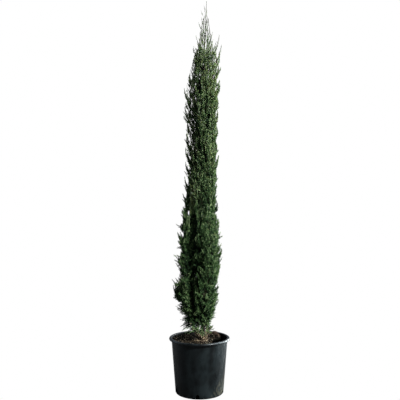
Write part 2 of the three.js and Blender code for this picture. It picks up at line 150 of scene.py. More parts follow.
# Outline of the crown: height, furthest left and furthest right
OUTLINE = np.array([
    [400, -40, 62], [470, -88, 80], [550, -120, 102], [600, -146, 114], [640, -164, 118], [700, -170, 118],
    [772, -182, 116], [800, -142, 122], [860, -142, 132], [950, -146, 144], [1090, -158, 138],
    [1200, -136, 124], [1330, -97, 105], [1500, -89, 112], [1850, -90, 119], [2060, -101, 126],
    [2180, -66, 132], [2290, -42, 136], [2400, -30, 130], [2480, -12, 104], [2570, 10, 80],
    [2660, 21, 66], [2750, 26, 60],
], float)
TIP_PLAY = 1.1

# Upright plumes in tiers
TIER_COUNT = 6
PLUMES_PER_TIER = 4
TIER_LOWEST, TIER_HIGHEST = 396.0, 2205.0
FIRST_TURN = math.radians(20)
TURN_PLAY = math.radians(16)
FOOT_PLAY = 40.0
PLUME_RISE_LOW, PLUME_RISE_HIGH = 840.0, 370.0
PLUME_BEND_LOW, PLUME_BEND_HIGH = 4.4, 2.8
PLUME_SPREAD = 0.66
BOUGHS_UNDER_PLUMES = 8
BOUGH_SHARE = 0.11

# Strays past the column and shoots at the trunk's foot: heights of foot and tip, reach and turn in degrees
STRAYS = [
    (470, 780, 216, 166), (830, 1120, 182, 182), (1050, 1318, 158, 186),
    (2270, 2505, 102, 2), (2190, 2421, 126, -22),
]
SHOOTS = [
    (398, 492, 148, 170), (404, 486, 112, 222), (392, 466, 88, 262),
    (400, 484, 92, -22), (408, 486, 106, 68),
]
STRAY_SPRAY, STRAY_STEM_SHARE, STRAY_FREE = 84.0, 0.84, 130.0
SHOOT_SPRAY, SHOOT_STEM_SHARE, SHOOT_BOUGH_SHARE = 74.0, 0.66, 0.5
SHOOT_WEIGHT = 0.35
LOOSE_POWER = 0.85
SLENDER_FROM, SLENDER_SPRAY, SLENDER_POWER = 2300.0, 20.0, 0.4
STEM_RADIUS_SHARE, STEM_RADIUS_MOST, STEM_TIP_RADIUS = 0.4, 4.5, 1.2
STEM_STEPS, STEM_SIDES = 24, 6
PATH_STEP = 0.01

# Slender sprigs by their two ends: bare stems that fan from the trunk's foot, drooping ones under the crown's
# left, and those at the tip of the lowest stray
FAN = [
    ((24, -20, 369), (-64, -52, 492)), ((18, -26, 369), (-22, -66, 446)), ((26, -24, 369), (6, -58, 470)),
    ((30, -22, 369), (80, -40, 462)), ((28, -20, 372), (52, -52, 506)), ((12, -20, 369), (-40, -30, 470)),
    ((16, 12, 369), (-58, 40, 478)), ((34, 14, 369), (72, 48, 486)), ((26, 20, 369), (18, 70, 470)),
    ((22, -28, 369), (-6, -84, 452)), ((34, -14, 369), (62, -70, 446)), ((16, -24, 369), (-52, -88, 470)),
    ((20, -28, 369), (-34, -84, 458)), ((24, -30, 369), (14, -100, 446)), ((30, -26, 369), (44, -92, 430)),
    ((20, -22, 369), (-10, -44, 478)),
]
DROOPING = [
    ((-30, -20, 520), (-112, -44, 476)), ((-34, 10, 530), (-118, 30, 492)),
    ((-20, -30, 505), (-92, -62, 454)), ((-26, -8, 498), (-104, -14, 448)),
    ((-14, -40, 500), (-66, -92, 462)), ((-34, 20, 512), (-96, 60, 470)),
    ((-40, -14, 545), (-128, -30, 512)), ((-30, -40, 540), (-104, -76, 502)),
    ((-10, 40, 505), (-60, 96, 468)), ((-20, -16, 488), (-118, -36, 440)),
    ((-16, -34, 480), (-96, -70, 428)), ((-24, 14, 492), (-112, 40, 446)),
    ((-12, -44, 476), (-74, -98, 430)), ((-28, -4, 506), (-128, -10, 462)),
    ((-18, 30, 484), (-84, 70, 436)),
]
EAR = [
    ((-138, -12, 690), (-188, -16, 784)), ((-130, -30, 672), (-172, -38, 764)),
    ((-126, 8, 700), (-164, 12, 788)), ((-140, 14, 650), (-184, 20, 738)),
]
FAN_BARE, DROOPING_BARE = 0.58, 0.2
SPRIG_BOW, SPRIG_ROOM, SPRIG_WEIGHT = 8.0, 30.0, 0.6

# Slender sprigs that follow a rule: under the crown, round the leader and along the edge of the upper crown
SKIRT_SPRIGS = 24
SKIRT_FROM, SKIRT_TO = 450.0, 550.0
SKIRT_ROOT, SKIRT_NEAR, SKIRT_FAR = 8.0, 66.0, 98.0
SKIRT_TILT = 60.0
SKIRT_BARE = 0.25
TOP_SHOOTS = 42
TOP_SHOOT_FROM, TOP_SHOOT_TO = 2200.0, 2650.0
TOP_SHOOT_LONG, TOP_SHOOT_SHORT = 215.0, 46.0
TOP_SHOOT_SPREAD, TOP_SHOOT_POWER = 0.42, 0.75
TOP_SHOOT_BARE = 0.38
EDGE_SPRIGS = 380
EDGE_SPRIG_FROM, EDGE_SPRIG_TO = 1330.0, 2430.0
EDGE_SPRIG_SHORT, EDGE_SPRIG_LONG = 45.0, 105.0

# Twigs. A table by height has a list of heights and a list of values.
TWIG_TRIAL_STEP, TWIG_TRIAL_STEP_LOW = 1.1, 0.6
TWIG_SHORTEST = 12.0
TWIG_CELL = (15.5, 20.0)
UPPER_CELL, LOOSE_CELL = 0.9, 0.7
CELL_BY_HEIGHT = ([1150, 1500], [1.0, UPPER_CELL])
BOUGH_CLOTHED = 0.5
OUTER_SHARE, INNER_KEPT = 0.62, 0.5
OVERLAP_LEAST, OVERLAP_MOST = -4.0, 14.0
ROOM_MOST, ROOM_STEP = 138.0, 6.0
ROOM_BY_HEIGHT = ([1150, 1350, 1500, 2180, 2330, 2500, 2700], [ROOM_MOST, 100, 90, 86, 62, 36, 24])
RISE_BY_HEIGHT = ([460, 550, 650, 1200, 1450, 2150, 2350], [-0.9, -0.2, 0, 0.1, 1.1, 1.2, 3.0])
PLUME_POINT, PLUME_TAPER = 34.0, 0.55
RAGGED_LOW, RAGGED_HIGH, RAGGED_LOOSE = 0.72, 1.06, 0.06
CROWN_LUMPS, CROWN_LUMP_SIZE = 0.14, np.array([46, 46, 80])
TWIG_RADIUS, TWIG_TIP_RADIUS = 1.0, 0.5
TWIG_RINGS, TWIG_SIDES = 3, 3
TWIG_FULL_LENGTH = 60.0
TWIG = (0.040, 0.046, 0.022)

# Sprays
SPRAY_STEP = 3.0
STEP_BY_HEIGHT = ([600, 800, 1150, 1500, 2300, 2450, 2741], [1.2, 1.0, 1.0, 0.96, 1.1, 2.4, 3.0])
SPRAYS_LEAST, SPRAYS_MOST, SPRAYS_MOST_SLENDER = 6, 31, 64
CLOTHED_SHARE, CLOTHED_SLENDER = 0.55, 0.96
SPRAY_LENGTH = 22.0
SIZE_BY_HEIGHT = ([1150, 1500, 2150, 2450, 2560, 2741], [1.0, 0.92, 0.92, 0.8, 0.62, 0.54])
SIZE_BY_SHARE = ([0.7, 1.0], [1.04, 0.68])
SLENDER_FOOT, SLENDER_FOOT_SIZE = 560.0, 0.8
UPRIGHT_BY_HEIGHT = ([1150, 1500], [0, 1])
SLENDER_LEAN_BY_HEIGHT = ([600, 1000, 2300, 2450], [0.6, 0.72, 0.72, 0.4])
SPRAY_REACH = 1.14
SPRAY_WIDTH = 0.11
SPRAY_BRANCHLETS = 5
SPRAY_KINDS = 16
LEAFLET_WIDEST, LEAFLET_FOLD = 0.4, 0.7
PIECE_TRIANGLES = 190000

# Old sprays close to the stems, and round the trunk, all in the darkest tint as painted shade
HEART_STEP = 3.4
HEART_SMALL, HEART_LARGE = 24.0, 46.0
HEART_REACH = 0.78
HEART_LEFT_OUT_BY_HEIGHT = ([2080, 2320], [0, 1])
CORE_COUNT = 3000
CORE_FROM, CORE_TO = 480.0, 2240.0

# Dark grooves between the plumes at the front: depth of floor and brink, then height, middle and half width.
# The last is the shaded plume on the upper left, which stands further back than the rest.
GROOVES = [
    (-68.0, -142.0, np.array([
        [560, -42, 6], [640, -50, 30], [700, -53, 33], [760, -57, 36], [860, -62, 39], [940, -64, 41],
        [1020, -60, 39], [1080, -56, 39], [1140, -50, 37], [1180, -36, 28], [1240, -22, 6],
    ], float)),
    (-86.0, -136.0, np.array([
        [1240, -4, 8], [1290, 2, 26], [1350, 8, 34], [1410, 8, 30], [1460, 6, 8],
    ], float)),
    (-82.0, -142.0, np.array([
        [1530, 13, 6], [1580, 19, 18], [1620, 23, 20], [1660, 26, 16], [1710, 28, 6],
    ], float)),
    (-34.0, -84.0, np.array([
        [1520, -76, 10], [1600, -78, 62], [1700, -78, 68], [2000, -76, 68], [2200, -68, 62], [2300, -50, 40],
        [2380, -30, 8],
    ], float)),
]
GAP_PLAY, GAP_PLAY_SIZE = 0.7, np.array([26, 26, 40])

# Gaps where the sky shows through the crown: middle, height, half width and half height
WINDOWS = [
    (-76, 1258, 8, 28), (-62, 1190, 6, 28), (-68, 1640, 5, 15), (-48, 1706, 5, 15), (-132, 618, 6, 16),
    (-90, 1498, 8, 30), (-120, 1110, 9, 28), (-142, 1196, 24, 24), (-152, 988, 24, 24), (-172, 846, 20, 38),
]

# Small specks of sky in the shaded plume: where they lie, their half width, and width over height
SPECKS = 54
SPECK_LEFT, SPECK_RIGHT = -74.0, -20.0
SPECK_LOW, SPECK_HIGH = 1690.0, 2140.0
SPECK_SMALL, SPECK_LARGE = 3.5, 5.9
SPECK_SLIM = 0.5

# Shares left out for the sky by height, and how far the full crown stops short of its outline
TWIG_SKY, LOOSE_TWIG_SKY, SPRAY_SKY, HEART_SKY = 0.3, 0.4, 0.62, 1.3
SKY_LEFT = ([1200, 1480, 1600, 2250, 2350], [0.1, 0.35, 1, 1, 0.5])
SKY_RIGHT = ([1000, 1400], [0.3, 1])
SKY_TOP = ([2100, 2280, 2380, 2460], [0, 0.25, 0.5, 0.85])
SKY_FOOT = ([380, 440, 470], [0.55, 0.5, 0])
SKY_MOST = 0.9
FOOT_OPEN_FROM, FOOT_OPEN_RUN, FOOT_OPEN_LIFT, FOOT_OPEN_MORE = -10.0, 40.0, 40.0, 2.8
FRINGE_LEFT = ([1200, 1400, 1550, 2080, 2180], [0, 0.08, 0.12, 0.16, 0.24])
FRINGE_RIGHT = ([1200, 1500], [0, 0.34])
FRINGE_FROM, FRINGE_GAIN = 0.4, 2.5

# Tints of the sprays from dark to light, each with its share of them
TINTS = {
    "shade": ((0.013, 0.031, 0.013), 0.21),
    "deep": ((0.029, 0.066, 0.022), 0.22),
    "mid": ((0.056, 0.112, 0.038), 0.22),
    "fresh": ((0.125, 0.195, 0.078), 0.175),
    "bright": ((0.230, 0.310, 0.145), 0.085),
    "grey": ((0.200, 0.250, 0.165), 0.05),
    "olive": ((0.175, 0.220, 0.070), 0.035),
    "brown": ((0.085, 0.055, 0.028), 0.005),
}
# Painted light: sprays at the crown's foot and towards its top are dealt lighter tints
LEVEL_BY_HEIGHT = ([400, 450, 510, 1150, 1700, 2300], [1.1, 0.9, -0.3, -0.3, 0.5, 1.9])
FINE_BY_HEIGHT = ([900, 1400], [0, 1])
TINT_LUMPS, TINT_LUMP_SIZE = 0.35, np.array([34, 34, 60])
# Painted shade on the left of the crown's foot: how much, where it starts, how far it runs, below what height
FOOT_SHADE, FOOT_SHADE_FROM, FOOT_SHADE_RUN, FOOT_SHADE_BELOW = 1.2, -40.0, 30.0, 530.0

# Parts of the front with painted light (lighter) or painted shade (darker): middle, height, half width, half
# height and how much
LIGHT_AND_SHADE_PATCHES = [
    (-52, 1360, 30, 120, 2.3), (-100, 690, 34, 90, 0.7), (26, 1330, 34, 90, -0.7),
    (-86, 870, 28, 120, -1.2), (110, 1850, 40, 500, 1.0),
]

# Studio. Lamps: name, place, what they face, watts, width and height, and tint.
FLOOR_HALF = 40.0
FLOOR = (0.07, 0.07, 0.07)
SKY_SIDE = (0.70, 0.22, 0.68)
SKY_STOPS = [(0.0, (0.088, 0.098, 0.116)), (0.6, (0.165, 0.18, 0.206)), (1.0, (0.70, 0.73, 0.78))]
SUN_PLACE, SUN_FACES, SUN_POWER, SUN_ANGLE = (5.8, -4.87, 7.1), (0, 0, 1.2), 8.4, math.radians(3)
LAMPS = [
    ("side", (3.0, 0.7, 0.8), (0, 0, 0.6), 235.0, (2.8, 1.5), (0.88, 1.0, 1.04)),
    ("top", (2.1, 1.8, 3.6), (0, 0, 0.5), 150.0, (1.0, 1.0), (0.88, 1.0, 1.04)),
    ("edge", (2.8, 2.5, 1.3), (0, 0, 1.1), 310.0, (1.6, 2.4), (1.0, 1.0, 1.0)),
    ("fill", (-3.4, 0.9, 1.9), (0, 0, 1.4), 36.0, (2.5, 2.5), (0.84, 0.95, 1.12)),
]
CAMERA_PLACE = (0.0035, -4.1, 1.343)
CAMERA_LENS, CAMERA_SENSOR, CAMERA_SIGHT = 52.74, 36.0, 200.0

rng = np.random.default_rng(LEAF_SEED)
soil_rng = np.random.default_rng(SOIL_SEED)


def lerp(a, b, t):
    return a + (b - a) * t


def chance(seed, n):
    """A repeatable number from 0 to 1 for a pair of whole numbers."""
    h = ((seed + 1) * 374761393 + (n + 1) * 668265263) & 0xFFFFFFFF
    h = ((h ^ (h >> 13)) * 1274126177) & 0xFFFFFFFF
    return (h ^ (h >> 16)) / 4294967296


def unit(v):
    return v / np.maximum(np.linalg.norm(v, axis=-1, keepdims=True), 1e-9)


def cross_axes(axis, lead):
    """Two directions square to each axis and to each other, picked by how steep the lead is."""
    steady = np.where(np.abs(lead[..., 2:3]) < 0.9, UP, ASIDE)
    beside = unit(np.cross(axis, steady))
    return beside, np.cross(axis, beside)


def swung(turn, first, second):
    """The direction at each turn from the first towards the second."""
    return np.cos(turn)[:, None] * first + np.sin(turn)[:, None] * second


def smooth_noise(points, seed):
    """Smooth noise from -1 to 1 at points of a lattice of ones."""
    cell = np.floor(points).astype(np.int64)
    part = points - cell
    part = part * part * (3 - 2 * part)
    total = np.zeros(len(points))
    for corner in np.ndindex(2, 2, 2):
        at = cell + corner
        h = (at[:, 0] * 374761393 + at[:, 1] * 668265263 + at[:, 2] * 2147483647 + seed * 97531) & 0xFFFFFFFF
        h = ((h ^ (h >> 13)) * 1274126177) & 0xFFFFFFFF
        value = (h ^ (h >> 16)) / 2147483648.0 - 1.0
        weight = np.prod(np.where(corner, part, 1 - part), axis=1)
        total += weight * value
    return total


# Meshes from arrays
def piece(name, points, faces, material, smooth=False):
    """One object from an array of points in millimetres and an array of faces, all with as many corners."""
    mesh = bpy.data.meshes.new(name)
    corners = faces.shape[1]
    mesh.vertices.add(len(points))
    mesh.vertices.foreach_set("co", (points * METRE).astype(np.float32).ravel())
    mesh.loops.add(faces.size)
    mesh.loops.foreach_set("vertex_index", faces.astype(np.int32).ravel())
    mesh.polygons.add(len(faces))
    mesh.polygons.foreach_set("loop_start", np.arange(0, faces.size, corners, dtype=np.int32))
    mesh.polygons.foreach_set("use_smooth", np.full(len(faces), smooth))
    mesh.update(calc_edges=True)
    mesh.validate()
    mesh.materials.append(material)
    made = bpy.data.objects.new(name, mesh)
    bpy.context.scene.collection.objects.link(made)
    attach(made, "root")
    return made


def merged(parts):
    """Several (points, faces) arrays as one."""
    points, faces, count = [], [], 0
    for part_points, part_faces in parts:
        points.append(part_points)
        faces.append(part_faces + count)
        count += len(part_points)
    return np.concatenate(points), np.concatenate(faces)


def ring_walls(rings, sides):
    """The triangles between rings of points that follow one another."""
    a = np.arange(rings - 1)[:, None] * sides + np.arange(sides)
    b = np.arange(rings - 1)[:, None] * sides + (np.arange(sides) + 1) % sides
    return np.stack([a, b, b + sides, a, b + sides, a + sides], -1).reshape(-1, 3)


def tubes(lines, radii, sides):
    """Tapering tubes with closed ends: lines is (n, k, 3), radii is (n, k)."""
    n, k, _ = lines.shape
    along = unit(np.gradient(lines, axis=1))
    beside, facing = cross_axes(along, along[:, :1])
    turn = 2 * np.pi * np.arange(sides) / sides
    points = lines[:, :, None] + radii[:, :, None, None] * swung(turn, beside[:, :, None], facing[:, :, None])
    fan = np.stack([np.zeros(sides - 2, int), np.arange(2, sides), np.arange(1, sides - 1)], -1)
    far = fan[:, ::-1] + (k - 1) * sides
    one = np.concatenate([ring_walls(k, sides), fan, far])
    faces = one[None] + (np.arange(n) * k * sides)[:, None, None]
    return points.reshape(-1, 3), faces.reshape(-1, 3)


# Materials
def shader(name, colour, roughness, specular):
    material = bpy.data.materials.new(name)
    material.use_nodes = True
    surface = material.node_tree.nodes["Principled BSDF"]
    surface.inputs["Base Color"].default_value = (*colour, 1)
    surface.inputs["Roughness"].default_value = roughness
    surface.inputs["Specular IOR Level"].default_value = specular
    return material


def add_node(material, kind, **values):
    made = material.node_tree.nodes.new(kind)
    for key, value in values.items():
        if key in made.inputs:
            made.inputs[key].default_value = value
        else:
            setattr(made, key, value)
    return made


def link(material, source, target):
    material.node_tree.links.new(source, target)


def feed(material, source, socket):
    """Link a source to a socket of the material's own shader."""
    link(material, source, material.node_tree.nodes["Principled BSDF"].inputs[socket])


def noise_node(material, scale, detail, stretch=(1, 1, 1)):
    coordinates = add_node(material, "ShaderNodeTexCoord")
    mapping = add_node(material, "ShaderNodeMapping", Scale=stretch)
    texture = add_node(material, "ShaderNodeTexNoise", Scale=scale, Detail=detail)
    link(material, coordinates.outputs["Object"], mapping.inputs["Vector"])
    link(material, mapping.outputs["Vector"], texture.inputs["Vector"])
    return texture.outputs["Fac"]


def ramp_node(material, source, stops):
    ramp = add_node(material, "ShaderNodeValToRGB")
    elements = ramp.color_ramp.elements
    while len(elements) < len(stops):
        elements.new(0.5)
    for element, (position, colour) in zip(elements, stops):
        element.position = position
        element.color = (*colour, 1)
    link(material, source, ramp.inputs["Fac"])
    return ramp.outputs["Color"]


def bump_node(material, source, strength, distance):
    bump = add_node(material, "ShaderNodeBump", Strength=strength, Distance=distance)
    link(material, source, bump.inputs["Height"])
    feed(material, bump.outputs["Normal"], "Normal")


def shades(colour, dark_at, dark, pale_at, pale):
    """Two stops of a ramp, a darker and a paler share of one colour."""
    return [(dark_at, [dark * c for c in colour]), (pale_at, [pale * c for c in colour])]


def mask(start, end):
    """Two stops of a ramp from black to white."""
    return [(start, (0, 0, 0)), (end, (1, 1, 1))]


def plastic_material():
    """Black plastic with a cool cast, uneven gloss, and soil dust clinging to the foot of its right side."""
    material = shader("black_plastic", PLASTIC, 0.34, 0.23)
    surface = material.node_tree.nodes["Principled BSDF"]
    surface.inputs["Specular Tint"].default_value = (*PLASTIC_GLOSS, 1)
    blotches = noise_node(material, 17.0, 4.0, (1, 1, 0.6))
    cast = ramp_node(material, blotches, shades(PLASTIC, 0.38, 0.4, 0.66, 2.4))
    place = add_node(material, "ShaderNodeTexCoord")
    beside = add_node(material, "ShaderNodeVectorMath", operation="DOT_PRODUCT")
    beside.inputs[1].default_value = DUST_SIDE
    link(material, place.outputs["Object"], beside.inputs[0])
    reach = ramp_node(material, beside.outputs["Value"], mask(DUST_FROM, DUST_TO))
    grains = ramp_node(material, noise_node(material, 70.0, 6.0, (1, 1, 0.6)), mask(0.46, 0.62))
    dusty = add_node(material, "ShaderNodeMath", operation="MULTIPLY")
    link(material, reach, dusty.inputs[0])
    link(material, grains, dusty.inputs[1])
    colour = add_node(material, "ShaderNodeMix", data_type="RGBA")
    colour.inputs["B"].default_value = (*DUST, 1)
    link(material, dusty.outputs["Value"], colour.inputs["Factor"])
    link(material, cast, colour.inputs["A"])
    feed(material, colour.outputs["Result"], "Base Color")
    scuffs = noise_node(material, 34.0, 5.0, (1, 1, 0.35))
    feed(material, ramp_node(material, scuffs, [(0.3, (0.25,) * 3), (0.7, (0.46,) * 3)]), "Roughness")
    bump_node(material, scuffs, 0.05, 0.002)
    return material


def inner_wall_material():
    """The inside of the pot, dulled by moist soil."""
    material = shader("inner_wall", INNER_WALL, 0.9, 0.06)
    stains = noise_node(material, 40.0, 5.0, (1, 1, 0.5))
    feed(material, ramp_node(material, stains, shades(INNER_WALL, 0.35, 0.5, 0.7, 1.6)), "Base Color")
    return material


def soil_material():
    """Grainy potting mix, darker where it lies low: painted shade in the hollow."""
    material = shader("potting_mix", SOIL, 0.95, 0.0)
    grain = noise_node(material, 170.0, 6.0)
    place = add_node(material, "ShaderNodeTexCoord")
    height = add_node(material, "ShaderNodeSeparateXYZ")
    link(material, place.outputs["Object"], height.inputs["Vector"])
    shaded = add_node(material, "ShaderNodeMix", data_type="RGBA", blend_type="MULTIPLY")
    shaded.inputs["Factor"].default_value = 1
    link(material, ramp_node(material, grain, SOIL_STOPS), shaded.inputs["A"])
    # Painted shade: the grain's colour is multiplied down to near black where the soil lies low
    link(material, ramp_node(material, height.outputs["Z"], HOLLOW_SHADE_STOPS), shaded.inputs["B"])
    feed(material, shaded.outputs["Result"], "Base Color")
    bump_node(material, grain, 0.7, 0.004)
    return material


def bark_material(name, colours):
    material = shader(name, colours[1], 0.9, 0.15)
    fibres = noise_node(material, 120.0, 6.0, (1, 1, 0.12))
    feed(material, ramp_node(material, fibres, list(zip((0.3, 0.5, 0.7), colours))), "Base Color")
    bump_node(material, fibres, 0.6, 0.003)
    return material


# The trunk's axis and the crown's reach
def trunk_at(z):
    share = (z - TRUNK_FOOT) / (TIP_HEIGHT - TRUNK_FOOT)
    x = TRUNK_FOOT_X + TRUNK_LEAN * share + TRUNK_SWAY * np.sin(2 * np.pi * share)
    y = TRUNK_SWAY * np.sin(1.5 * np.pi * share)
    return np.stack([x, y, z], -1)


def trunk_radius(z):
    share = (z - TRUNK_FOOT) / (TRUNK_TOP - TRUNK_FOOT)
    flare = FLARE_RADIUS * np.exp((TRUNK_FOOT - z) / FLARE_HEIGHT)
    return lerp(TRUNK_FOOT_RADIUS, TRUNK_TOP_RADIUS, share) + flare


def crown_reach(z, turn):
    left = np.interp(z, OUTLINE[:, 0], OUTLINE[:, 1])
    right = np.interp(z, OUTLINE[:, 0], OUTLINE[:, 2])
    half = TIP_PLAY * (right - left) / 2
    off = trunk_at(z)[..., 0] - (left + right) / 2
    along = off * np.cos(turn)
    return np.sqrt(np.maximum(along**2 - off**2 + half**2, 0)) - along


def from_trunk(z, turn, reach):
    return trunk_at(z) + np.stack([reach * np.cos(turn), reach * np.sin(turn), 0 * z], -1)


class Stem:
    """The stem of one mass: its path, its reach, and the share of it that is a bare bough."""

    girth = STEM_RADIUS_SHARE

    def __init__(self, name, path, reach, bough_share=0.0, weight=1.0, open_habit=False, slender=False):
        self.name = name
        self.path = path
        self.reach = reach
        self.bough_share = bough_share
        self.weight = weight
        self.open_habit = open_habit
        self.slender = slender
        self.line = path(np.linspace(0, 1, STEM_STEPS + 1))
        self.length = np.linalg.norm(np.diff(self.line, axis=0), axis=1).sum()

    def radius(self, t):
        most = min(STEM_RADIUS_MOST, self.girth * trunk_radius(self.line[0, 2]))
        return lerp(max(most, STEM_TIP_RADIUS), STEM_TIP_RADIUS, t)


def plume_stem(i):
    tier = i // PLUMES_PER_TIER
    share = tier / (TIER_COUNT - 1)
    foot = lerp(TIER_LOWEST, TIER_HIGHEST, share) + FOOT_PLAY * chance(SEED, i)
    rise = lerp(PLUME_RISE_LOW, PLUME_RISE_HIGH, share) * (0.92 + 0.16 * chance(SEED, 100 + i))
    bend = lerp(PLUME_BEND_LOW, PLUME_BEND_HIGH, math.sqrt(share))
    even_turn = FIRST_TURN + tier * math.pi / PLUMES_PER_TIER + i * 2 * math.pi / PLUMES_PER_TIER
    turn = even_turn + TURN_PLAY * (chance(SEED, 200 + i) - 0.5)

    def path(t):
        z = foot + rise * t
        spread = PLUME_SPREAD * (1 - np.maximum(1 - t, 0) ** bend)
        return from_trunk(z, turn, spread * crown_reach(z, turn))

    bough_share = BOUGH_SHARE if i < BOUGHS_UNDER_PLUMES else 0.0
    return Stem(f"plume_{i + 1:02d}", path, crown_reach, bough_share)


def loose_stem(kind, i, entry, spray, stem_share, bough_share):
    foot, tip, reach, degrees = entry
    turn = math.radians(degrees)
    power = LOOSE_POWER
    slender = tip > SLENDER_FROM
    if slender:
        spray, stem_share, power = SLENDER_SPRAY, 1.0, SLENDER_POWER

    def path(t):
        return from_trunk(lerp(foot, tip - 0.5 * spray, t), turn, stem_share * reach * t**power)

    def own_reach(z, turn):
        return np.where(z < tip - STRAY_FREE, np.minimum(reach, crown_reach(z, turn)), reach)

    weight = SHOOT_WEIGHT if bough_share else 1.0
    return Stem(f"{kind}_{i + 1:02d}", path, own_reach, bough_share, weight, True, slender)


def slender_stem(name, path, reach, bare):
    return Stem(name, path, lambda z, _: np.full(np.shape(z), reach), bare, SPRIG_WEIGHT, True, True)


def sprig(name, i, start, end, bare=0.0):
    """A slender stem that is clothed along its own length, or past its bare share."""
    start, end = np.array(start, float), np.array(end, float)
    reach = SPRIG_ROOM + np.linalg.norm(end[:2] - trunk_at(end[2])[:2])
    bow = SPRIG_BOW * np.array([1.0 - 2 * (i % 2), 0.4, 0.0])

    def path(t):
        t = np.asarray(t)[..., None]
        return start + (end - start) * t + np.sin(np.pi * t) * bow

    return slender_stem(f"{name}_{i + 1}", path, reach, bare)


def top_shoot(i):
    """A shoot from the upper trunk that spreads first and then stands up: long below, short near the tip."""
    share = i / (TOP_SHOOTS - 1)
    foot = lerp(TOP_SHOOT_FROM, TOP_SHOOT_TO, share**1.4)
    length = lerp(TOP_SHOOT_LONG, TOP_SHOOT_SHORT, share) * (0.7 + 0.4 * chance(SEED, 300 + i))
    spread = TOP_SHOOT_SPREAD * length * (0.45 + 0.75 * chance(SEED, 400 + i))
    turn = i * GOLDEN_TURN

    def path(t):
        return from_trunk(foot + length * t, turn, spread * t**TOP_SHOOT_POWER)

    return slender_stem(f"top_shoot_{i + 1}", path, SPRIG_ROOM + spread, TOP_SHOOT_BARE)


def skirt_sprig(i):
    """A sprig from the bare foot of the trunk, spreading nearly level under the crown."""
    share = i / (SKIRT_SPRIGS - 1)
    foot = lerp(SKIRT_FROM, SKIRT_TO, share)
    turn = i * GOLDEN_TURN
    far = lerp(SKIRT_NEAR, SKIRT_FAR, share) * (0.6 + 0.4 * chance(SEED, 1400 + i))
    z = np.array([foot, foot + SKIRT_TILT * (chance(SEED, 1500 + i) - 0.35)])
    return sprig("skirt_sprig", i, *from_trunk(z, turn, np.array([SKIRT_ROOT, far])), SKIRT_BARE)


def edge_sprig(i):
    """A sprig that stands up from the crown's side and ends near its outline."""
    tip = lerp(EDGE_SPRIG_FROM, EDGE_SPRIG_TO, (i + chance(SEED, 500 + i)) / EDGE_SPRIGS)
    length = lerp(EDGE_SPRIG_SHORT, EDGE_SPRIG_LONG, chance(SEED, 800 + i))
    turn = i * GOLDEN_TURN
    z = np.array([tip - length, tip])
    reach = crown_reach(z, turn) * np.array([0.74, 0.84 + 0.26 * chance(SEED, 1100 + i)])
    return sprig("edge_sprig", i, *from_trunk(z, turn, reach))


def leader_stem():
    def path(t):
        z = lerp(TRUNK_TOP + CLEAR, TIP_HEIGHT - LEADER_SHORT, t)
        return trunk_at(z) + LEADER_BOW * np.sin(0.6 * np.pi * t)[..., None]

    made = Stem("leader", path, crown_reach, 0.0, 0.8, True, True)
    made.girth = LEADER_GIRTH
    return made


stems = [plume_stem(i) for i in range(TIER_COUNT * PLUMES_PER_TIER)]
stems += [loose_stem("stray", i, entry, STRAY_SPRAY, STRAY_STEM_SHARE, 0.0) for i, entry in enumerate(STRAYS)]
stems += [
    loose_stem("shoot", i, entry, SHOOT_SPRAY, SHOOT_STEM_SHARE, SHOOT_BOUGH_SHARE)
    for i, entry in enumerate(SHOOTS)
]
stems.append(leader_stem())
masses = [stem.name for stem in stems]
stems += [sprig("fan", i, *ends, FAN_BARE) for i, ends in enumerate(FAN)]
stems += [sprig("ear", i, *ends) for i, ends in enumerate(EAR)]
stems += [sprig("drooping", i, *ends, DROOPING_BARE) for i, ends in enumerate(DROOPING)]
stems += [top_shoot(i) for i in range(TOP_SHOOTS)]
stems += [edge_sprig(i) for i in range(EDGE_SPRIGS)]
stems += [skirt_sprig(i) for i in range(SKIRT_SPRIGS)]
slender_stems = np.array([stem.slender for stem in stems])
loose_stems = np.array([stem.open_habit for stem in stems])
weights = np.array([stem.weight for stem in stems])
lengths = np.array([stem.length for stem in stems])
massive = np.flatnonzero(~slender_stems)
stem_lines = np.stack([stems[s].line[::2] for s in massive])


# The space that each mass may fill
def stem_distances(points, batch=2000):
    """Each point's distance to each stem that has twigs, over the stem's weight."""
    a, b = stem_lines[:, :-1], stem_lines[:, 1:]
    run = b - a
    found = np.empty((len(points), len(massive)))
    for start in range(0, len(points), batch):
        offset = points[start:start + batch, None, None] - a
        share = np.clip((offset * run).sum(-1) / (run * run).sum(-1), 0, 1)
        gap = np.linalg.norm(offset - share[..., None] * run, axis=-1)
        found[start:start + batch] = gap.min(-1) / weights[massive]
    return found


def crown_share(points, owner):
    """How far out each point lies, as a share of its stem's reach there."""
    outward = points - trunk_at(points[:, 2])
    turn = np.arctan2(outward[:, 1], outward[:, 0])
    reach = np.empty(len(points))
    for s, stem in enumerate(stems):
        mine = owner == s
        reach[mine] = stem.reach(points[mine, 2], turn[mine])
    return np.hypot(outward[:, 0], outward[:, 1]) / np.maximum(reach, 1)


def is_open(points):
    """Whether each point lies in a groove or in a gap that shows the sky."""
    inside = np.zeros(len(points), bool)
    play = 1 + GAP_PLAY * smooth_noise(points / GAP_PLAY_SIZE, 8)
    for floor, brink, groove in GROOVES:
        middle = np.interp(points[:, 2], groove[:, 0], groove[:, 1])
        half = np.interp(points[:, 2], groove[:, 0], groove[:, 2], 0, 0)
        aside = np.abs(points[:, 0] - middle) / np.maximum(half * play, 1e-3)
        inside |= (aside < 1) & (points[:, 1] < lerp(floor, brink, aside**2))
    for x, z, half_x, half_z in WINDOWS:
        inside |= np.hypot((points[:, 0] - x) / half_x, (points[:, 2] - z) / half_z) < play
    return inside


def in_speck(points):
    """Whether each point lies in one of the small specks where the sky shows between the sprays."""
    inside = np.zeros(len(points), bool)
    for i in range(SPECKS):
        x = lerp(SPECK_LEFT, SPECK_RIGHT, chance(SEED, 1700 + i))
        z = lerp(SPECK_LOW, SPECK_HIGH, (i + chance(SEED, 1800 + i)) / SPECKS)
        half = lerp(SPECK_SMALL, SPECK_LARGE, chance(SEED, 1900 + i))
        inside |= np.hypot(points[:, 0] - x, SPECK_SLIM * (points[:, 2] - z)) < half
    return inside


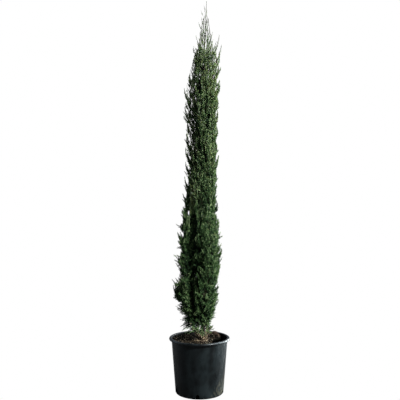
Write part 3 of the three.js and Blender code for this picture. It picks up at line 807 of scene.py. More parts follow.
def left_share(points):
    """How far left of the trunk each point lies, as a share of the crown's reach to the left."""
    z = points[:, 2]
    return (trunk_at(z)[:, 0] - points[:, 0]) / crown_reach(z, np.pi)


def sky_share(points):
    """The share left out: at the wispy top, on the thin sides of the upper crown, and at its open foot."""
    z = points[:, 2]
    aside = left_share(points)
    left = np.clip(1.3 * (aside - 0.2), 0, 0.5) * np.interp(z, *SKY_LEFT)
    right = np.clip(2.0 * (-aside - 0.4), 0, 0.85) * np.interp(z, *SKY_RIGHT)
    beside = np.clip((FOOT_OPEN_FROM - points[:, 0]) / FOOT_OPEN_RUN, 0, 1)
    foot = np.interp(z - FOOT_OPEN_LIFT * beside, *SKY_FOOT) * lerp(1, FOOT_OPEN_MORE, beside)
    return np.clip(left + right + np.interp(z, *SKY_TOP), 0, SKY_MOST) + foot


def fringe(points):
    """How far the full part of the upper crown stops short of its outline, where only sprigs stand out."""
    z = points[:, 2]
    aside = left_share(points)
    left = np.clip(FRINGE_GAIN * (aside - FRINGE_FROM), 0, 1) * np.interp(z, *FRINGE_LEFT)
    right = np.clip(FRINGE_GAIN * (-aside - FRINGE_FROM), 0, 1) * np.interp(z, *FRINGE_RIGHT)
    return left + right


def in_own_space(points, owner, overlap, limit):
    """Whether each point lies nearer to its own stem than to others, inside the crown and in no gap."""
    distances = stem_distances(points)
    column = np.searchsorted(massive, owner)
    own = distances[np.arange(len(points)), column]
    distances[np.arange(len(points)), column] = np.inf
    inside = own < distances.min(1) + overlap
    lumps = 1 + CROWN_LUMPS * smooth_noise(points / CROWN_LUMP_SIZE, 21)
    limit = limit * np.where(loose_stems[owner], 1, lumps * (1 - fringe(points)))
    inside &= (crown_share(points, owner) < limit) & ~is_open(points)
    inside &= (points[:, 2] > SOIL_TOP_HEIGHT + 4) & (points[:, 2] < TIP_HEIGHT)
    return inside


# Twigs rise from the stems towards the edge of their own space
def twig_roots():
    """Each trial twig's stem, its share along the stem, its root, and the stem's direction there."""
    rows = []
    for s in massive:
        stem = stems[s]
        bare = BOUGH_CLOTHED * stem.bough_share
        step = TWIG_TRIAL_STEP_LOW if bare or stem.open_habit else TWIG_TRIAL_STEP
        count = int(stem.length * (1 - bare) / step)
        t = bare + (1 - bare) * (np.arange(count) + rng.random(count)) / count
        rows.append(np.stack([np.full(count, s), t], -1))
    owner, t = np.concatenate(rows).T
    owner = owner.astype(int)
    root = np.empty((len(owner), 3))
    ahead = np.empty((len(owner), 3))
    for s in massive:
        mine = owner == s
        root[mine] = stems[s].path(t[mine])
        ahead[mine] = stems[s].path(t[mine] + PATH_STEP)
    return owner, t, root, unit(ahead - root)


def twig_room(owner, t, root, grow):
    """How far each twig can grow before it leaves its own space."""
    count = len(owner)
    room = np.zeros(count)
    growing = np.ones(count, bool)
    overlap = rng.uniform(OVERLAP_LEAST, OVERLAP_MOST, count)
    limit = rng.uniform(RAGGED_LOW, RAGGED_HIGH, count) + RAGGED_LOOSE * loose_stems[owner]
    most = np.interp(root[:, 2], *ROOM_BY_HEIGHT)
    most = np.minimum(most, PLUME_POINT + PLUME_TAPER * (1 - t) * lengths[owner])
    for step in np.arange(ROOM_STEP, ROOM_MOST + 1, ROOM_STEP):
        where = np.flatnonzero(growing)
        inside = in_own_space(root[where] + step * grow[where], owner[where], overlap[where], limit[where])
        inside &= step < most[where]
        room[where[inside]] = step
        growing[where[~inside]] = False
    return room


def some_of_each(keys, most):
    """At most so many of the rows that share a key, picked at random."""
    order = rng.permutation(len(keys))
    group = np.unique(keys[order], axis=0, return_inverse=True)[1].reshape(-1)
    by_group = np.argsort(group, kind="stable")
    starts = np.flatnonzero(np.diff(group[by_group], prepend=-1))
    rank = np.arange(len(keys)) - np.repeat(starts, np.diff(starts, append=len(keys)))
    return np.sort(order[by_group[rank < most[order[by_group]]]])


def evenly_spread(owner, tip, length):
    """The twigs that are kept, at most one tip to each cell of the crown, and fewer where the sky shows."""
    count = len(owner)
    loose = loose_stems[owner]
    outer = crown_share(tip, owner) > OUTER_SHARE
    reach = tip - trunk_at(tip[:, 2])
    girth = np.arctan2(reach[:, 1], reach[:, 0]) * np.hypot(reach[:, 0], reach[:, 1])
    finer = np.interp(tip[:, 2], *CELL_BY_HEIGHT) * np.where(loose, LOOSE_CELL, 1)
    around = np.floor(girth / TWIG_CELL[0] / finer)
    upward = np.floor(tip[:, 2] / TWIG_CELL[1] / finer)
    keys = np.stack([outer + 2.0 * loose, around, upward], -1)
    short = length < TWIG_SHORTEST
    keys[short] = -1e6
    most = np.where(outer | loose, 1, rng.random(count) < INNER_KEPT)
    left_out = rng.random(count) < np.where(loose, LOOSE_TWIG_SKY, TWIG_SKY) * sky_share(tip)
    most[short | left_out] = 0
    return some_of_each(keys, most)


def grow_twigs():
    """Each twig's stem, and its root, bow, tip and length."""
    owner, t, root, along = twig_roots()
    count = len(owner)
    outward = root - trunk_at(root[:, 2])
    outward[np.linalg.norm(outward, axis=1) < 1] = (0, -1, 0)
    outward = unit(outward - (outward * along).sum(1, keepdims=True) * along)
    swing = rng.uniform(-np.pi, np.pi, count)
    sideways = swung(swing, outward, np.cross(along, outward))
    rise = rng.uniform(0.0, 1.3, count)
    rise = rise + np.where(loose_stems[owner], 0.3, np.minimum(4 * t, 1.2) * rng.random(count))
    rise += 2.0 * np.maximum(t - 0.8, 0) / 0.2
    rise += np.interp(root[:, 2], *RISE_BY_HEIGHT)
    grow = unit(sideways + rise[:, None] * along)
    room = twig_room(owner, t, root, grow)
    length = room * rng.uniform(0.85, 1.0, count)
    tip = root + length[:, None] * grow
    keep = evenly_spread(owner, tip, length)
    bow = root + 0.5 * length[:, None] * unit(1.5 * sideways + (0.35 + 0.5 * rise)[:, None] * along)
    twigs = [owner[keep], root[keep], bow[keep], tip[keep], length[keep]]
    return [np.concatenate(pair) for pair in zip(twigs, sprig_twigs())]


def sprig_twigs():
    """The slender stems as twigs, in the form that grow_twigs gives."""
    owner = np.flatnonzero(slender_stems)
    shares = [np.linspace(stems[s].bough_share, 1, 3) for s in owner]
    lines = np.stack([stems[s].path(t) for s, t in zip(owner, shares)])
    root, middle, tip = lines[:, 0], lines[:, 1], lines[:, 2]
    return owner, root, 2 * middle - (root + tip) / 2, tip, np.linalg.norm(tip - root, axis=1)


def bezier(root, bow, tip, u):
    """Points and directions at a share u of each curve."""
    u = u[:, None]
    point = (1 - u) ** 2 * root + 2 * u * (1 - u) * bow + u**2 * tip
    return point, unit((1 - u) * (bow - root) + u * (tip - bow))


# A spray: slim leaflets of two faces, folded along the middle, round a longer one
def spray_kind(kind_rng):
    points, faces = [], []

    def leaflet(root, tip, width):
        axis = unit(tip - root)
        beside = unit(np.cross(axis, unit(kind_rng.normal(0, 1, 3))))
        crease = LEAFLET_FOLD * width * np.cross(axis, beside)
        middle = lerp(root, tip, LEAFLET_WIDEST)
        first = len(points)
        points.extend([root, middle + width * beside + crease, tip, middle - width * beside + crease])
        faces.extend([(first, first + 1, first + 2), (first, first + 2, first + 3)])

    leaflet(np.zeros(3), np.array([*kind_rng.normal(0, 0.05, 2), 1.0]), SPRAY_WIDTH)
    for k in range(SPRAY_BRANCHLETS):
        h = 0.06 + 0.66 * (k + 0.5 * kind_rng.random()) / SPRAY_BRANCHLETS
        turn = k * GOLDEN_TURN + kind_rng.normal(0, 0.25)
        lean = math.radians(kind_rng.uniform(24, 48))
        reach = (0.62 - 0.3 * h) * kind_rng.uniform(0.8, 1.2)
        root = h * UP
        side = np.array([math.cos(turn), math.sin(turn), 0.0])
        leaflet(root, root + reach * (math.sin(lean) * side + math.cos(lean) * UP), SPRAY_WIDTH)
    return np.array(points), np.array(faces)


def spray_sizes(twig, u, spot, owner, tip, length):
    """Larger low on a twig, smaller on short twigs, at the crown's edge and towards its top."""
    slender = slender_stems[owner][twig]
    size = SPRAY_LENGTH * (0.62 + 0.5 * (1 - u)) * rng.uniform(0.75, 1.25, len(u))
    size *= np.clip(length[twig] / TWIG_FULL_LENGTH, 0.5, 1.0)
    size *= np.interp(spot[:, 2], *SIZE_BY_HEIGHT)
    on_leader = np.where(owner[twig] == masses.index("leader"), LEADER_SPRAY, 1)
    size *= np.where(slender, lerp(1.15, 0.8, u), 1) * on_leader
    size *= np.where(slender & (tip[twig, 2] < SLENDER_FOOT), SLENDER_FOOT_SIZE, 1)
    size *= np.interp(crown_share(spot, owner[twig]), *SIZE_BY_SHARE)
    return size


def grow_sprays(owner, root, bow, tip, length):
    """Twig, share along it, root, direction and size of each spray on the outer part of the twigs."""
    height = tip[:, 2]
    slender = slender_stems[owner]
    clothed = np.where(slender, CLOTHED_SLENDER, CLOTHED_SHARE)
    step = SPRAY_STEP * np.interp(height, *STEP_BY_HEIGHT)
    most = np.where(slender, SPRAYS_MOST_SLENDER, SPRAYS_MOST)
    count = np.clip((clothed * length / step).astype(int), SPRAYS_LEAST, most)
    twig = np.repeat(np.arange(len(owner)), count)
    order = np.arange(len(twig)) - np.repeat(np.cumsum(count) - count, count)
    u = 1 - clothed[twig] * (order + 0.8 * rng.random(len(twig)) * (order > 0)) / count[twig]
    spot, axis = bezier(root[twig], bow[twig], tip[twig], u)
    round_axis = swung(order * GOLDEN_TURN + twig * 1.7, *cross_axes(axis, axis))
    upright = np.interp(height[twig], *UPRIGHT_BY_HEIGHT)
    lean = lerp(30 + 34 * (1 - u), 14 + 30 * (1 - u), upright) + rng.normal(0, 8, len(u))
    lean = np.radians(lean) * (order > 0)
    lean *= np.where(slender[twig], np.interp(height[twig], *SLENDER_LEAN_BY_HEIGHT), 1)
    lift = lerp(0.1, 0.35, upright)[:, None] * UP
    heading = unit(np.cos(lean)[:, None] * axis + np.sin(lean)[:, None] * round_axis + lift)
    size = spray_sizes(twig, u, spot, owner, tip, length)
    ends = spot + size[:, None] * heading
    keep = (crown_share(ends, owner[twig]) < SPRAY_REACH) & ~is_open(ends)
    keep &= (ends[:, 2] < TIP_HEIGHT) & (ends[:, 2] > SOIL_TOP_HEIGHT + 6)
    keep &= ~in_speck(ends) & ~in_speck((spot + ends) / 2)
    keep &= slender[twig] | (rng.random(len(u)) > SPRAY_SKY * sky_share(ends))
    return twig[keep], u[keep], spot[keep], heading[keep], size[keep]


def grow_hearts():
    """Old sprays close to the stems and the trunk, dark with painted shade: root, direction and size."""
    rows = []
    for s in massive:
        stem = stems[s]
        count = int(stem.length * (1 - stem.bough_share) / HEART_STEP)
        if stem.open_habit:
            count //= 3
        t = stem.bough_share + (0.9 - stem.bough_share) * rng.random(count)
        rows.append((np.full(count, s), stem.path(t), stem.path(t + PATH_STEP) - stem.path(t)))
    z = lerp(CORE_FROM, CORE_TO, rng.random(CORE_COUNT) ** 1.3)
    turn = rng.uniform(0, 2 * np.pi, CORE_COUNT)
    core = from_trunk(z, turn, 0.5 * crown_reach(z, turn) * np.sqrt(rng.random(CORE_COUNT)))
    rows.append((np.zeros(CORE_COUNT, int), core, np.tile(UP, (CORE_COUNT, 1))))
    owner, root, along = (np.concatenate(column) for column in zip(*rows))
    along = unit(along)
    heading = unit(along + unit(rng.normal(0, 1, along.shape)) * 0.9 + 0.2 * UP)
    size = rng.uniform(HEART_SMALL, HEART_LARGE, len(root))
    ends = root + size[:, None] * heading
    keep = (crown_share(ends, owner) < HEART_REACH) & ~is_open(ends)
    keep &= rng.random(len(root)) > HEART_SKY * sky_share(ends)
    keep &= rng.random(len(root)) > np.interp(ends[:, 2], *HEART_LEFT_OUT_BY_HEIGHT)
    keep &= ~in_speck(root) & ~in_speck(ends) & ~in_speck((root + ends) / 2)
    return root[keep], heading[keep], size[keep]


def place_sprays(kinds, which, root, heading, size):
    """The points and faces of sprays, each one of the kinds, turned and sized in its place."""
    parts = []
    roll = rng.uniform(0, 2 * np.pi, len(root))
    lift = rng.uniform(0.0, 0.2, len(root))
    across = swung(roll, *cross_axes(heading, heading))
    upright = np.cross(heading, across)
    for k, (points, faces) in enumerate(kinds):
        mine = np.flatnonzero(which == k)
        if not len(mine):
            continue
        basis = np.stack([across[mine], upright[mine], heading[mine]], 1)
        placed = np.einsum("vc,ncx->nvx", points, basis) * size[mine, None, None]
        placed += root[mine, None]
        placed[:, :, 2] += (lift[mine] * size[mine])[:, None] * points[:, 2] ** 2
        shifted = faces[None] + (np.arange(len(mine)) * len(points))[:, None, None]
        parts.append((placed.reshape(-1, 3), shifted.reshape(-1, 3)))
    return merged(parts)


def deal_tints(owner, twig, u, ends):
    """A tint for each spray: darker inside the crown and low on a twig, both as older foliage and as painted
    shade, and lighter towards the young tips.
    """
    share = crown_share(ends, owner[twig])
    fine = np.interp(ends[:, 2], *FINE_BY_HEIGHT)
    mood = rng.normal(0, 1, len(owner))[twig] * lerp(0.5, 0.34, fine)
    lumps = smooth_noise(ends / TINT_LUMP_SIZE, 33)
    # Partly painted shade: sprays low on a twig and deep inside the crown are dealt darker tints
    level = mood + 1.7 * (u - 0.6) + 1.2 * (share - 0.8) + TINT_LUMPS * lumps
    level += rng.normal(0, 1, len(twig)) * lerp(0.6, 1.15, fine)
    # Painted light at the foot and the top, by height
    level += np.interp(ends[:, 2], *LEVEL_BY_HEIGHT)
    # Painted shade on the left of the crown's foot
    beside = np.clip((FOOT_SHADE_FROM - ends[:, 0]) / FOOT_SHADE_RUN, 0, 1)
    level -= FOOT_SHADE * beside * (ends[:, 2] < FOOT_SHADE_BELOW)
    # Painted light and painted shade in patches, on the front half only
    for x, z, half_x, half_z, lift in LIGHT_AND_SHADE_PATCHES:
        off = ((ends[:, 0] - x) / half_x) ** 2 + ((ends[:, 2] - z) / half_z) ** 2
        level += lift * np.exp(-off) * (ends[:, 1] < 0)
    rank = np.empty(len(level))
    rank[np.argsort(level)] = (np.arange(len(level)) + 0.5) / len(level)
    shares = np.array([share for _, share in TINTS.values()])
    return np.searchsorted(np.cumsum(shares)[:-1], rank)


def grow_foliage():
    owner, root, bow, tip, length = grow_twigs()
    kind_rng = np.random.default_rng(SEED + 1)
    kinds = [spray_kind(kind_rng) for _ in range(SPRAY_KINDS)]
    twig, u, spot, heading, size = grow_sprays(owner, root, bow, tip, length)
    tint = deal_tints(owner, twig, u, spot + size[:, None] * heading)
    heart_spot, heart_heading, heart_size = grow_hearts()
    spot = np.concatenate([spot, heart_spot])
    heading = np.concatenate([heading, heart_heading])
    size = np.concatenate([size, heart_size])
    # Painted shade: the sprays inside the crown all take the darkest tint
    tint = np.concatenate([tint, np.zeros(len(heart_spot), int)])
    which = rng.integers(0, SPRAY_KINDS, len(spot))
    most = PIECE_TRIANGLES // len(kinds[0][1])
    made = []
    for k, (name, (colour, _)) in enumerate(TINTS.items()):
        mine = np.flatnonzero(tint == k)
        material = shader(f"leaf_{name}", colour, 0.75, 0.12)
        for part, start in enumerate(range(0, len(mine), most)):
            some = mine[start:start + most]
            points, faces = place_sprays(kinds, which[some], spot[some], heading[some], size[some])
            made.append(piece(f"sprays_{name}_{part + 1}", points, faces, material))
    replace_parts(made[0], *masses)
    shares = np.linspace(0, 1, TWIG_RINGS)
    lines = np.stack([bezier(root, bow, tip, np.full(len(root), at))[0] for at in shares], 1)
    girth = np.clip(length / TWIG_FULL_LENGTH, 0.8, 1.6)
    radii = np.linspace(TWIG_RADIUS, TWIG_TIP_RADIUS, TWIG_RINGS)[None] * girth[:, None]
    points, faces = tubes(lines, radii, TWIG_SIDES)
    piece("twigs", points, faces, shader("twig", TWIG, 0.85, 0.15))


# Stems, trunk and boughs
def grow_stems(bark, young_bark):
    """The stems of the masses, on from their boughs, and the bare stems that fan from the trunk's foot."""
    inner = [(stem, stem.bough_share) for stem in stems if stem.name in masses]
    fan = [(stem, 0.0) for stem in stems if stem.name.startswith("fan")]
    for name, some, material in (("stems", inner, bark), ("fan_stems", fan, young_bark)):
        shares = [np.linspace(start, 1, STEM_STEPS + 1) for _, start in some]
        lines = np.array([stem.path(t) for (stem, _), t in zip(some, shares)])
        radii = np.array([stem.radius(t) for (stem, _), t in zip(some, shares)])
        points, faces = tubes(lines, radii, STEM_SIDES)
        piece(name, points, faces, material, True)


def bark_tube(line, radius, sides, relief, seed):
    """A closed limb with furrows that run along it."""
    points, faces = tubes(line[None], radius[None], sides)
    centre = np.repeat(line, sides, axis=0)
    out = unit(points - centre)
    turn = np.tile(2 * np.pi * np.arange(sides) / sides, len(line))
    around = [FURROW_ROUND * np.cos(turn), FURROW_ROUND * np.sin(turn)]
    lattice = np.stack([*around, centre[:, 2] / FURROW_LENGTH], -1)
    furrow = np.abs(smooth_noise(lattice * FURROW_COARSE, seed))
    furrow = furrow + 0.5 * np.abs(smooth_noise(lattice * FURROW_FINE, seed + 1))
    swell = np.repeat(radius, sides)
    return points + out * ((FURROW_LEVEL - furrow) * relief * swell)[:, None], faces


def make_wood(bark):
    z = lerp(TRUNK_FOOT, TRUNK_TOP, np.linspace(0, 1, TRUNK_RINGS) ** 1.3)
    points, faces = bark_tube(trunk_at(z), trunk_radius(z), TRUNK_SIDES, TRUNK_RELIEF, 3)
    points[:, 2] = np.maximum(points[:, 2], TRUNK_FOOT)
    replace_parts(piece("trunk_bark", points, faces, bark, True), "trunk")
    parts, names = [], []
    for s, stem in enumerate(stems):
        if stem.bough_share > 0 and stem.name in masses:
            t = np.linspace(0, stem.bough_share, BOUGH_RINGS)
            radius = lerp(BOUGH_SWELL, 1.0, t / stem.bough_share) * stem.radius(t)
            parts.append(bark_tube(stem.path(t), radius, BOUGH_SIDES, BOUGH_RELIEF, 20 + s))
            names.append(f"bough_{stem.name}")
    points, faces = merged(parts)
    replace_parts(piece("boughs_bark", points, faces, bark, True), *names)


# Pot
def lathe(profile, sides):
    """A closed turned solid from a profile that starts and ends on the axis."""
    rings = np.array(profile[1:-1], float)
    turn = 2 * np.pi * np.arange(sides) / sides
    x = rings[:, :1] * np.cos(turn)
    y = rings[:, :1] * np.sin(turn)
    z = np.repeat(rings[:, 1:], sides, axis=1)
    points = np.stack([x, y, z], -1).reshape(-1, 3)
    k = len(rings)
    first, last = len(points), len(points) + 1
    points = np.concatenate([points, [[0, 0, profile[0][1]], [0, 0, profile[-1][1]]]])
    ring = np.arange(sides)
    following = (ring + 1) % sides
    floor = np.stack([np.full(sides, first), following, ring], -1)
    top = np.stack([np.full(sides, last), ring + (k - 1) * sides, following + (k - 1) * sides], -1)
    return points, np.concatenate([ring_walls(k, sides), floor, top])


def arc(x, z, radius, start, end, steps):
    turns = np.linspace(start, end, steps)
    return [(x + radius * math.cos(a), z + radius * math.sin(a)) for a in turns]


def straight(start, end, steps):
    """Points from start to end, without the start itself."""
    shares = np.linspace(0, 1, steps)[1:]
    return [(lerp(start[0], end[0], share), lerp(start[1], end[1], share)) for share in shares]


def pot_profile():
    """Radius and height from the underside's middle, up the outside, over the rim and down the inside."""
    quarter = math.pi / 2
    rim_round = RIM_HEIGHT / 2
    floor_radius = WALL_FOOT_RADIUS - FOOT_ROUND
    inner_top = WALL_TOP_RADIUS - WALL
    profile = [(0, 0), (floor_radius - UNDERSIDE_INSET, 0)]
    profile += arc(floor_radius, FOOT_ROUND, FOOT_ROUND, -quarter, 0, 9)
    profile += straight((WALL_FOOT_RADIUS, FOOT_ROUND), (WALL_TOP_RADIUS, POT_HEIGHT - RIM_HEIGHT), 26)
    profile += arc(RIM_RADIUS - rim_round, POT_HEIGHT - rim_round, rim_round, -quarter, quarter, 15)
    for a in np.linspace(0.25, 1, 5) * quarter:
        inner = inner_top + LIP_ROUND - LIP_ROUND * math.sin(a)
        profile.append((inner, POT_HEIGHT - LIP_ROUND + LIP_ROUND * math.cos(a)))
    inner_foot = (WALL_FOOT_RADIUS - WALL, FOOT_ROUND + WALL)
    profile += straight((inner_top, POT_HEIGHT - LIP_ROUND), inner_foot, 12)
    return profile + [(floor_radius, WALL), (0, WALL)]


def drain_cutter(turn):
    """A round-topped slot through the wall at the pot's foot."""
    half = DRAIN_WIDTH / 2
    shape = [(-half, DRAIN_LIP), (half, DRAIN_LIP)]
    shape += arc(0.0, DRAIN_HEIGHT - half, half, 0, math.pi, 13)
    mesh = bmesh.new()
    for depth in (DRAIN_INSIDE, DRAIN_OUTSIDE):
        out = WALL_FOOT_RADIUS + depth
        ring = []
        for aside, height in shape:
            ring.append(mesh.verts.new((
                (out * math.cos(turn) - aside * math.sin(turn)) * METRE,
                (out * math.sin(turn) + aside * math.cos(turn)) * METRE,
                height * METRE,
            )))
        mesh.faces.new(ring)
    mesh.verts.ensure_lookup_table()
    n = len(shape)
    for i in range(n):
        j = (i + 1) % n
        mesh.faces.new([mesh.verts[i], mesh.verts[j], mesh.verts[n + j], mesh.verts[n + i]])
    bmesh.ops.recalc_face_normals(mesh, faces=mesh.faces)
    data = bpy.data.meshes.new("drain")
    mesh.to_mesh(data)
    mesh.free()
    made = bpy.data.objects.new("drain", data)
    bpy.context.scene.collection.objects.link(made)
    return made


def smooth_by_angle(made, degrees):
    mesh = bmesh.new()
    mesh.from_mesh(made.data)
    for face in mesh.faces:
        face.smooth = True
    for edge in mesh.edges:
        edge.smooth = len(edge.link_faces) == 2 and edge.calc_face_angle(0) < math.radians(degrees)
    mesh.to_mesh(made.data)
    mesh.free()


def make_pot():
    points, faces = lathe(pot_profile(), POT_SIDES)
    made = piece("pot_shell", points, faces, plastic_material())
    cutters = []
    for i in range(DRAIN_COUNT):
        cutter = drain_cutter(DRAIN_FIRST_TURN + i * 2 * math.pi / DRAIN_COUNT)
        cut = made.modifiers.new("drain", "BOOLEAN")
        cut.operation = "DIFFERENCE"
        cut.solver = "EXACT"
        cut.object = cutter
        cutters.append(cutter)
    shape = bpy.data.meshes.new_from_object(made.evaluated_get(bpy.context.evaluated_depsgraph_get()))
    made.modifiers.clear()
    made.data = shape
    for cutter in cutters:
        bpy.data.objects.remove(cutter)
    smooth_by_angle(made, POT_CREASE)
    made.data.materials.append(inner_wall_material())
    for face in made.data.polygons:
        x, y, z = face.center
        outside = lerp(WALL_FOOT_RADIUS, WALL_TOP_RADIUS, z / METRE / POT_HEIGHT)
        within = math.hypot(x, y) / METRE < outside - 0.5 * WALL
        face.material_index = int(within and z / METRE > 0.5 * WALL)
    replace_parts(made, "pot")


# Soil, crumbs and straw
def flat_noise(x, y, size, seed):
    return smooth_noise(np.stack([x / size, y / size, 0 * x], -1), seed)


def hollow(x, y):
    """How far down each place lies in the hollow: 0 beyond its edge and 1 on its floor."""
    within = x - np.interp(y, HOLLOW_EDGE[:, 0], HOLLOW_EDGE[:, 1])
    within += HOLLOW_PLAY * flat_noise(x, y, HOLLOW_PLAY_SIZE, 7)
    share = np.clip(within / HOLLOW_SLOPE, 0, 1)
    return share**2 * (3 - 2 * share)


def soil_height(x, y):
    r = np.hypot(x, y)
    knee = lerp(SOIL_FLAT_RADIUS, SOIL_EDGE_RADIUS, 0.6)
    drop = SOIL_TOP_HEIGHT - SOIL_EDGE_HEIGHT
    base = np.interp(r, [0, SOIL_FLAT_RADIUS, knee, SOIL_EDGE_RADIUS], [0, 0, -0.75 * drop, -drop])
    outward = np.clip((r - RISE_NEAR) / (RISE_FAR - RISE_NEAR), 0, 1)
    rise = RISE_HEIGHT * outward * np.clip((RISE_RIGHT - x) / (RISE_RIGHT - RISE_LEFT), 0, 1)
    rise += HEAP_HEIGHT * np.exp(-(((x - HEAP_X) / HEAP_WIDE) ** 2 + ((y - HEAP_Y) / HEAP_DEEP) ** 2))
    level = SOIL_TOP_HEIGHT + base + rise - HOLLOW_DEPTH * hollow(x, y)
    level = level + SOIL_SWELL * flat_noise(x, y, SOIL_SWELL_SIZE, 5)
    return level + SOIL_GRAIN * flat_noise(x, y, SOIL_GRAIN_SIZE, 6)


def make_soil():
    radii = SOIL_EDGE_RADIUS * np.linspace(0, 1, SOIL_RINGS + 1)[1:][::-1]
    floor = WALL + CLEAR
    floor_radius = WALL_FOOT_RADIUS - FOOT_ROUND - CLEAR
    profile = [(0, floor), (floor_radius, floor), (SOIL_FOOT_RADIUS, FOOT_ROUND + floor)]
    profile += [(r, SOIL_EDGE_HEIGHT) for r in radii]
    profile.append((0, SOIL_TOP_HEIGHT))
    points, faces = lathe(profile, SOIL_SIDES)
    top = points[:, 2] >= SOIL_EDGE_HEIGHT
    points[top, 2] = soil_height(points[top, 0], points[top, 1])
    share = np.hypot(points[top, 0], points[top, 1]) / SOIL_EDGE_RADIUS
    wall_share = (points[top, 2] - FOOT_ROUND) / (POT_HEIGHT - FOOT_ROUND)
    inside = lerp(WALL_FOOT_RADIUS, WALL_TOP_RADIUS, wall_share) - WALL - 1
    points[top, :2] *= lerp(1, np.minimum(1, inside / SOIL_EDGE_RADIUS), share**2)[:, None]
    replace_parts(piece("soil_bed", points, faces, soil_material(), True), "soil")


def scattered(count, reach, power):
    turn = soil_rng.uniform(0, 2 * np.pi, count)
    r = reach * soil_rng.random(count) ** power
    return r * np.cos(turn), r * np.sin(turn)


def turned(x, y, turn):
    """Rows of flat points, each row turned by its own angle."""
    cosine, sine = np.cos(turn)[:, None], np.sin(turn)[:, None]
    return cosine * x - sine * y, sine * x + cosine * y


def make_crumbs():
    """Small uneven octahedra, strewn over the soil."""
    corner = np.array([[1, 0, 0], [-1, 0, 0], [0, 1, 0], [0, -1, 0], [0, 0, 1], [0, 0, -1]], float)
    octahedron = np.array([
        [0, 2, 4], [2, 1, 4], [1, 3, 4], [3, 0, 4], [2, 0, 5], [1, 2, 5], [3, 1, 5], [0, 3, 5],
    ])
    for name, count, (small, large), colour in CRUMBS:
        x, y = scattered(count, SOIL_EDGE_RADIUS - SOIL_MARGIN, 0.6)
        # Crumbs lie only where the soil is above the painted shade of the hollow
        above_shade = soil_height(x, y) > SOIL_ABOVE_SHADE
        x, y, count = x[above_shade], y[above_shade], above_shade.sum()
        size = soil_rng.uniform(small, large, (count, 1, 1)) * soil_rng.uniform(0.5, 1.3, (count, 6, 1))
        shape = corner[None] * size * CRUMB_SHAPE
        turn = soil_rng.uniform(0, 2 * np.pi, count)
        points = np.stack([*turned(shape[:, :, 0], shape[:, :, 1], turn), shape[:, :, 2]], -1)
        points += np.stack([x, y, soil_height(x, y) + 0.5], -1)[:, None]
        faces = octahedron[None] + (np.arange(count) * 6)[:, None, None]
        material = shader(name, colour, 0.95, 0.0)
        piece(name, points.reshape(-1, 3), faces.reshape(-1, 3), material)


def make_straw():
    """Bent straws, loose round the trunk's foot and on the heap."""
    share = np.linspace(-0.5, 0.5, len(STRAW_TAPER))
    for name, count, colour, heaped in STRAWS:
        near_x, near_y = scattered(count, STRAW_REACH, 0.7)
        heap_x = soil_rng.normal(HEAP_X, HEAP_STRAW_WIDE, count)
        heap_y = soil_rng.normal(HEAP_Y, HEAP_STRAW_DEEP, count)
        on_heap = soil_rng.random(count) < heaped
        x = np.where(on_heap, heap_x, near_x + STRAW_X)
        y = np.where(on_heap, heap_y, near_y + STRAW_Y)
        length = soil_rng.uniform(STRAW_SHORT, STRAW_LONG, count) * np.where(on_heap, STRAW_ON_HEAP, 1)
        pull = np.minimum(1, (SOIL_EDGE_RADIUS - SOIL_MARGIN - 0.5 * length) / np.maximum(np.hypot(x, y), 1))
        turn = soil_rng.uniform(0, 2 * np.pi, count)
        tilt = soil_rng.normal(0.2, 0.3, count)
        bend = soil_rng.normal(0, 0.18, count)
        run = share[None] * length[:, None]
        across, upward = turned(run, bend[:, None] * length[:, None] * share[None] ** 2, turn)
        px = (x * pull)[:, None] + across
        py = (y * pull)[:, None] + upward
        ground = soil_height(px.ravel(), py.ravel()).reshape(px.shape)
        pile = HEAP_PILE * np.exp(-((px - HEAP_X) ** 2 + (py - HEAP_Y) ** 2) / HEAP_PILE_REACH**2)
        pile += STRAW_PILE * np.exp(-((px - STRAW_X) ** 2 + (py - STRAW_Y) ** 2) / STRAW_PILE_REACH**2)
        lift = soil_rng.random(count)[:, None] * pile
        pz = ground + 1.2 + lift + np.abs(run * np.sin(tilt)[:, None]) * 0.4
        radius = soil_rng.uniform(STRAW_THIN, STRAW_THICK, count)[:, None] * STRAW_TAPER
        # Straws lie only where the soil is above the painted shade of the hollow
        above_shade = ground.min(1) > SOIL_ABOVE_SHADE
        points, faces = tubes(np.stack([px, py, pz], -1)[above_shade], radius[above_shade], 3)
        piece(name, points, faces, shader(name, colour, 0.8, 0.2))


# Studio
def white_to_camera(holder, light, white, output):
    """Camera rays see the plain white, and the object is lit by the light."""
    seen = add_node(holder, "ShaderNodeLightPath")
    choice = add_node(holder, "ShaderNodeMixShader")
    link(holder, seen.outputs["Is Camera Ray"], choice.inputs["Fac"])
    link(holder, light, choice.inputs[1])
    link(holder, white, choice.inputs[2])
    link(holder, choice.outputs["Shader"], holder.node_tree.nodes[output].inputs["Surface"])


def make_floor():
    half = FLOOR_HALF
    mesh = bpy.data.meshes.new("floor")
    corners = [(-half, -half, 0), (half, -half, 0), (half, half, 0), (-half, half, 0)]
    mesh.from_pydata(corners, [], [(0, 1, 2, 3)])
    floor = bpy.data.objects.new("floor", mesh)
    material = shader("floor", FLOOR, 1.0, 0.0)
    white = add_node(material, "ShaderNodeEmission")
    grey = material.node_tree.nodes["Principled BSDF"]
    white_to_camera(material, grey.outputs["BSDF"], white.outputs["Emission"], "Material Output")
    mesh.materials.append(material)
    bpy.context.scene.collection.objects.link(floor)


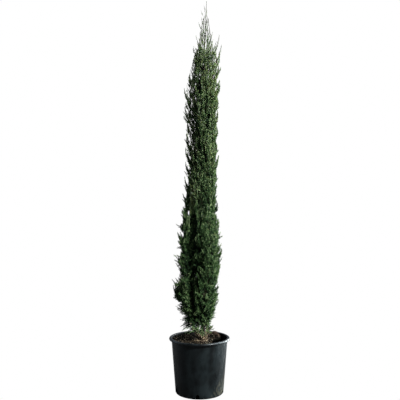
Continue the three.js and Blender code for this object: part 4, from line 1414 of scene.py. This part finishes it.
def make_light(name, kind, location, target, energy, **values):
    data = bpy.data.lights.new(name, kind)
    data.energy = energy
    for key, value in values.items():
        setattr(data, key, value)
    made = bpy.data.objects.new(name, data)
    made.location = location
    bpy.context.scene.collection.objects.link(made)
    made.rotation_mode = "QUATERNION"
    made.rotation_quaternion = (Vector(target) - made.location).to_track_quat("-Z", "Y")


def make_world():
    """Soft light from above and the right, in front of a plain white background."""
    world = bpy.data.worlds.new("studio")
    world.use_nodes = True
    direction = add_node(world, "ShaderNodeTexCoord")
    facing = add_node(world, "ShaderNodeVectorMath", operation="DOT_PRODUCT")
    facing.inputs[1].default_value = SKY_SIDE
    link(world, direction.outputs["Generated"], facing.inputs[0])
    share = add_node(world, "ShaderNodeMapRange")
    share.inputs["From Min"].default_value = -1
    link(world, facing.outputs["Value"], share.inputs["Value"])
    soft = add_node(world, "ShaderNodeBackground")
    link(world, ramp_node(world, share.outputs["Result"], SKY_STOPS), soft.inputs["Color"])
    white = world.node_tree.nodes["Background"]
    white.inputs["Color"].default_value = (1, 1, 1, 1)
    white_to_camera(world, soft.outputs["Background"], white.outputs["Background"], "World Output")
    return world


def make_studio():
    scene = bpy.context.scene
    scene.world = make_world()
    scene.view_settings.view_transform = "Standard"
    scene.view_settings.look = "None"
    make_floor()
    make_light("key", "SUN", SUN_PLACE, SUN_FACES, SUN_POWER, angle=SUN_ANGLE)
    for name, place, target, power, (width, height), tint in LAMPS:
        shape = {"shape": "RECTANGLE", "size": width, "size_y": height, "color": tint}
        make_light(name, "AREA", place, target, power, **shape)
    camera_data = bpy.data.cameras.new("camera")
    camera_data.lens = CAMERA_LENS
    camera_data.sensor_width = CAMERA_SENSOR
    camera_data.clip_end = CAMERA_SIGHT
    camera = bpy.data.objects.new("camera", camera_data)
    camera.location = CAMERA_PLACE
    camera.rotation_euler = (math.pi / 2, 0, 0)
    scene.collection.objects.link(camera)
    scene.camera = camera


bark = bark_material("bark", BARK)
young_bark = bark_material("young_bark", YOUNG_BARK)
make_pot()
make_soil()
make_crumbs()
make_straw()
make_wood(bark)
grow_stems(bark, young_bark)
grow_foliage()
make_studio()
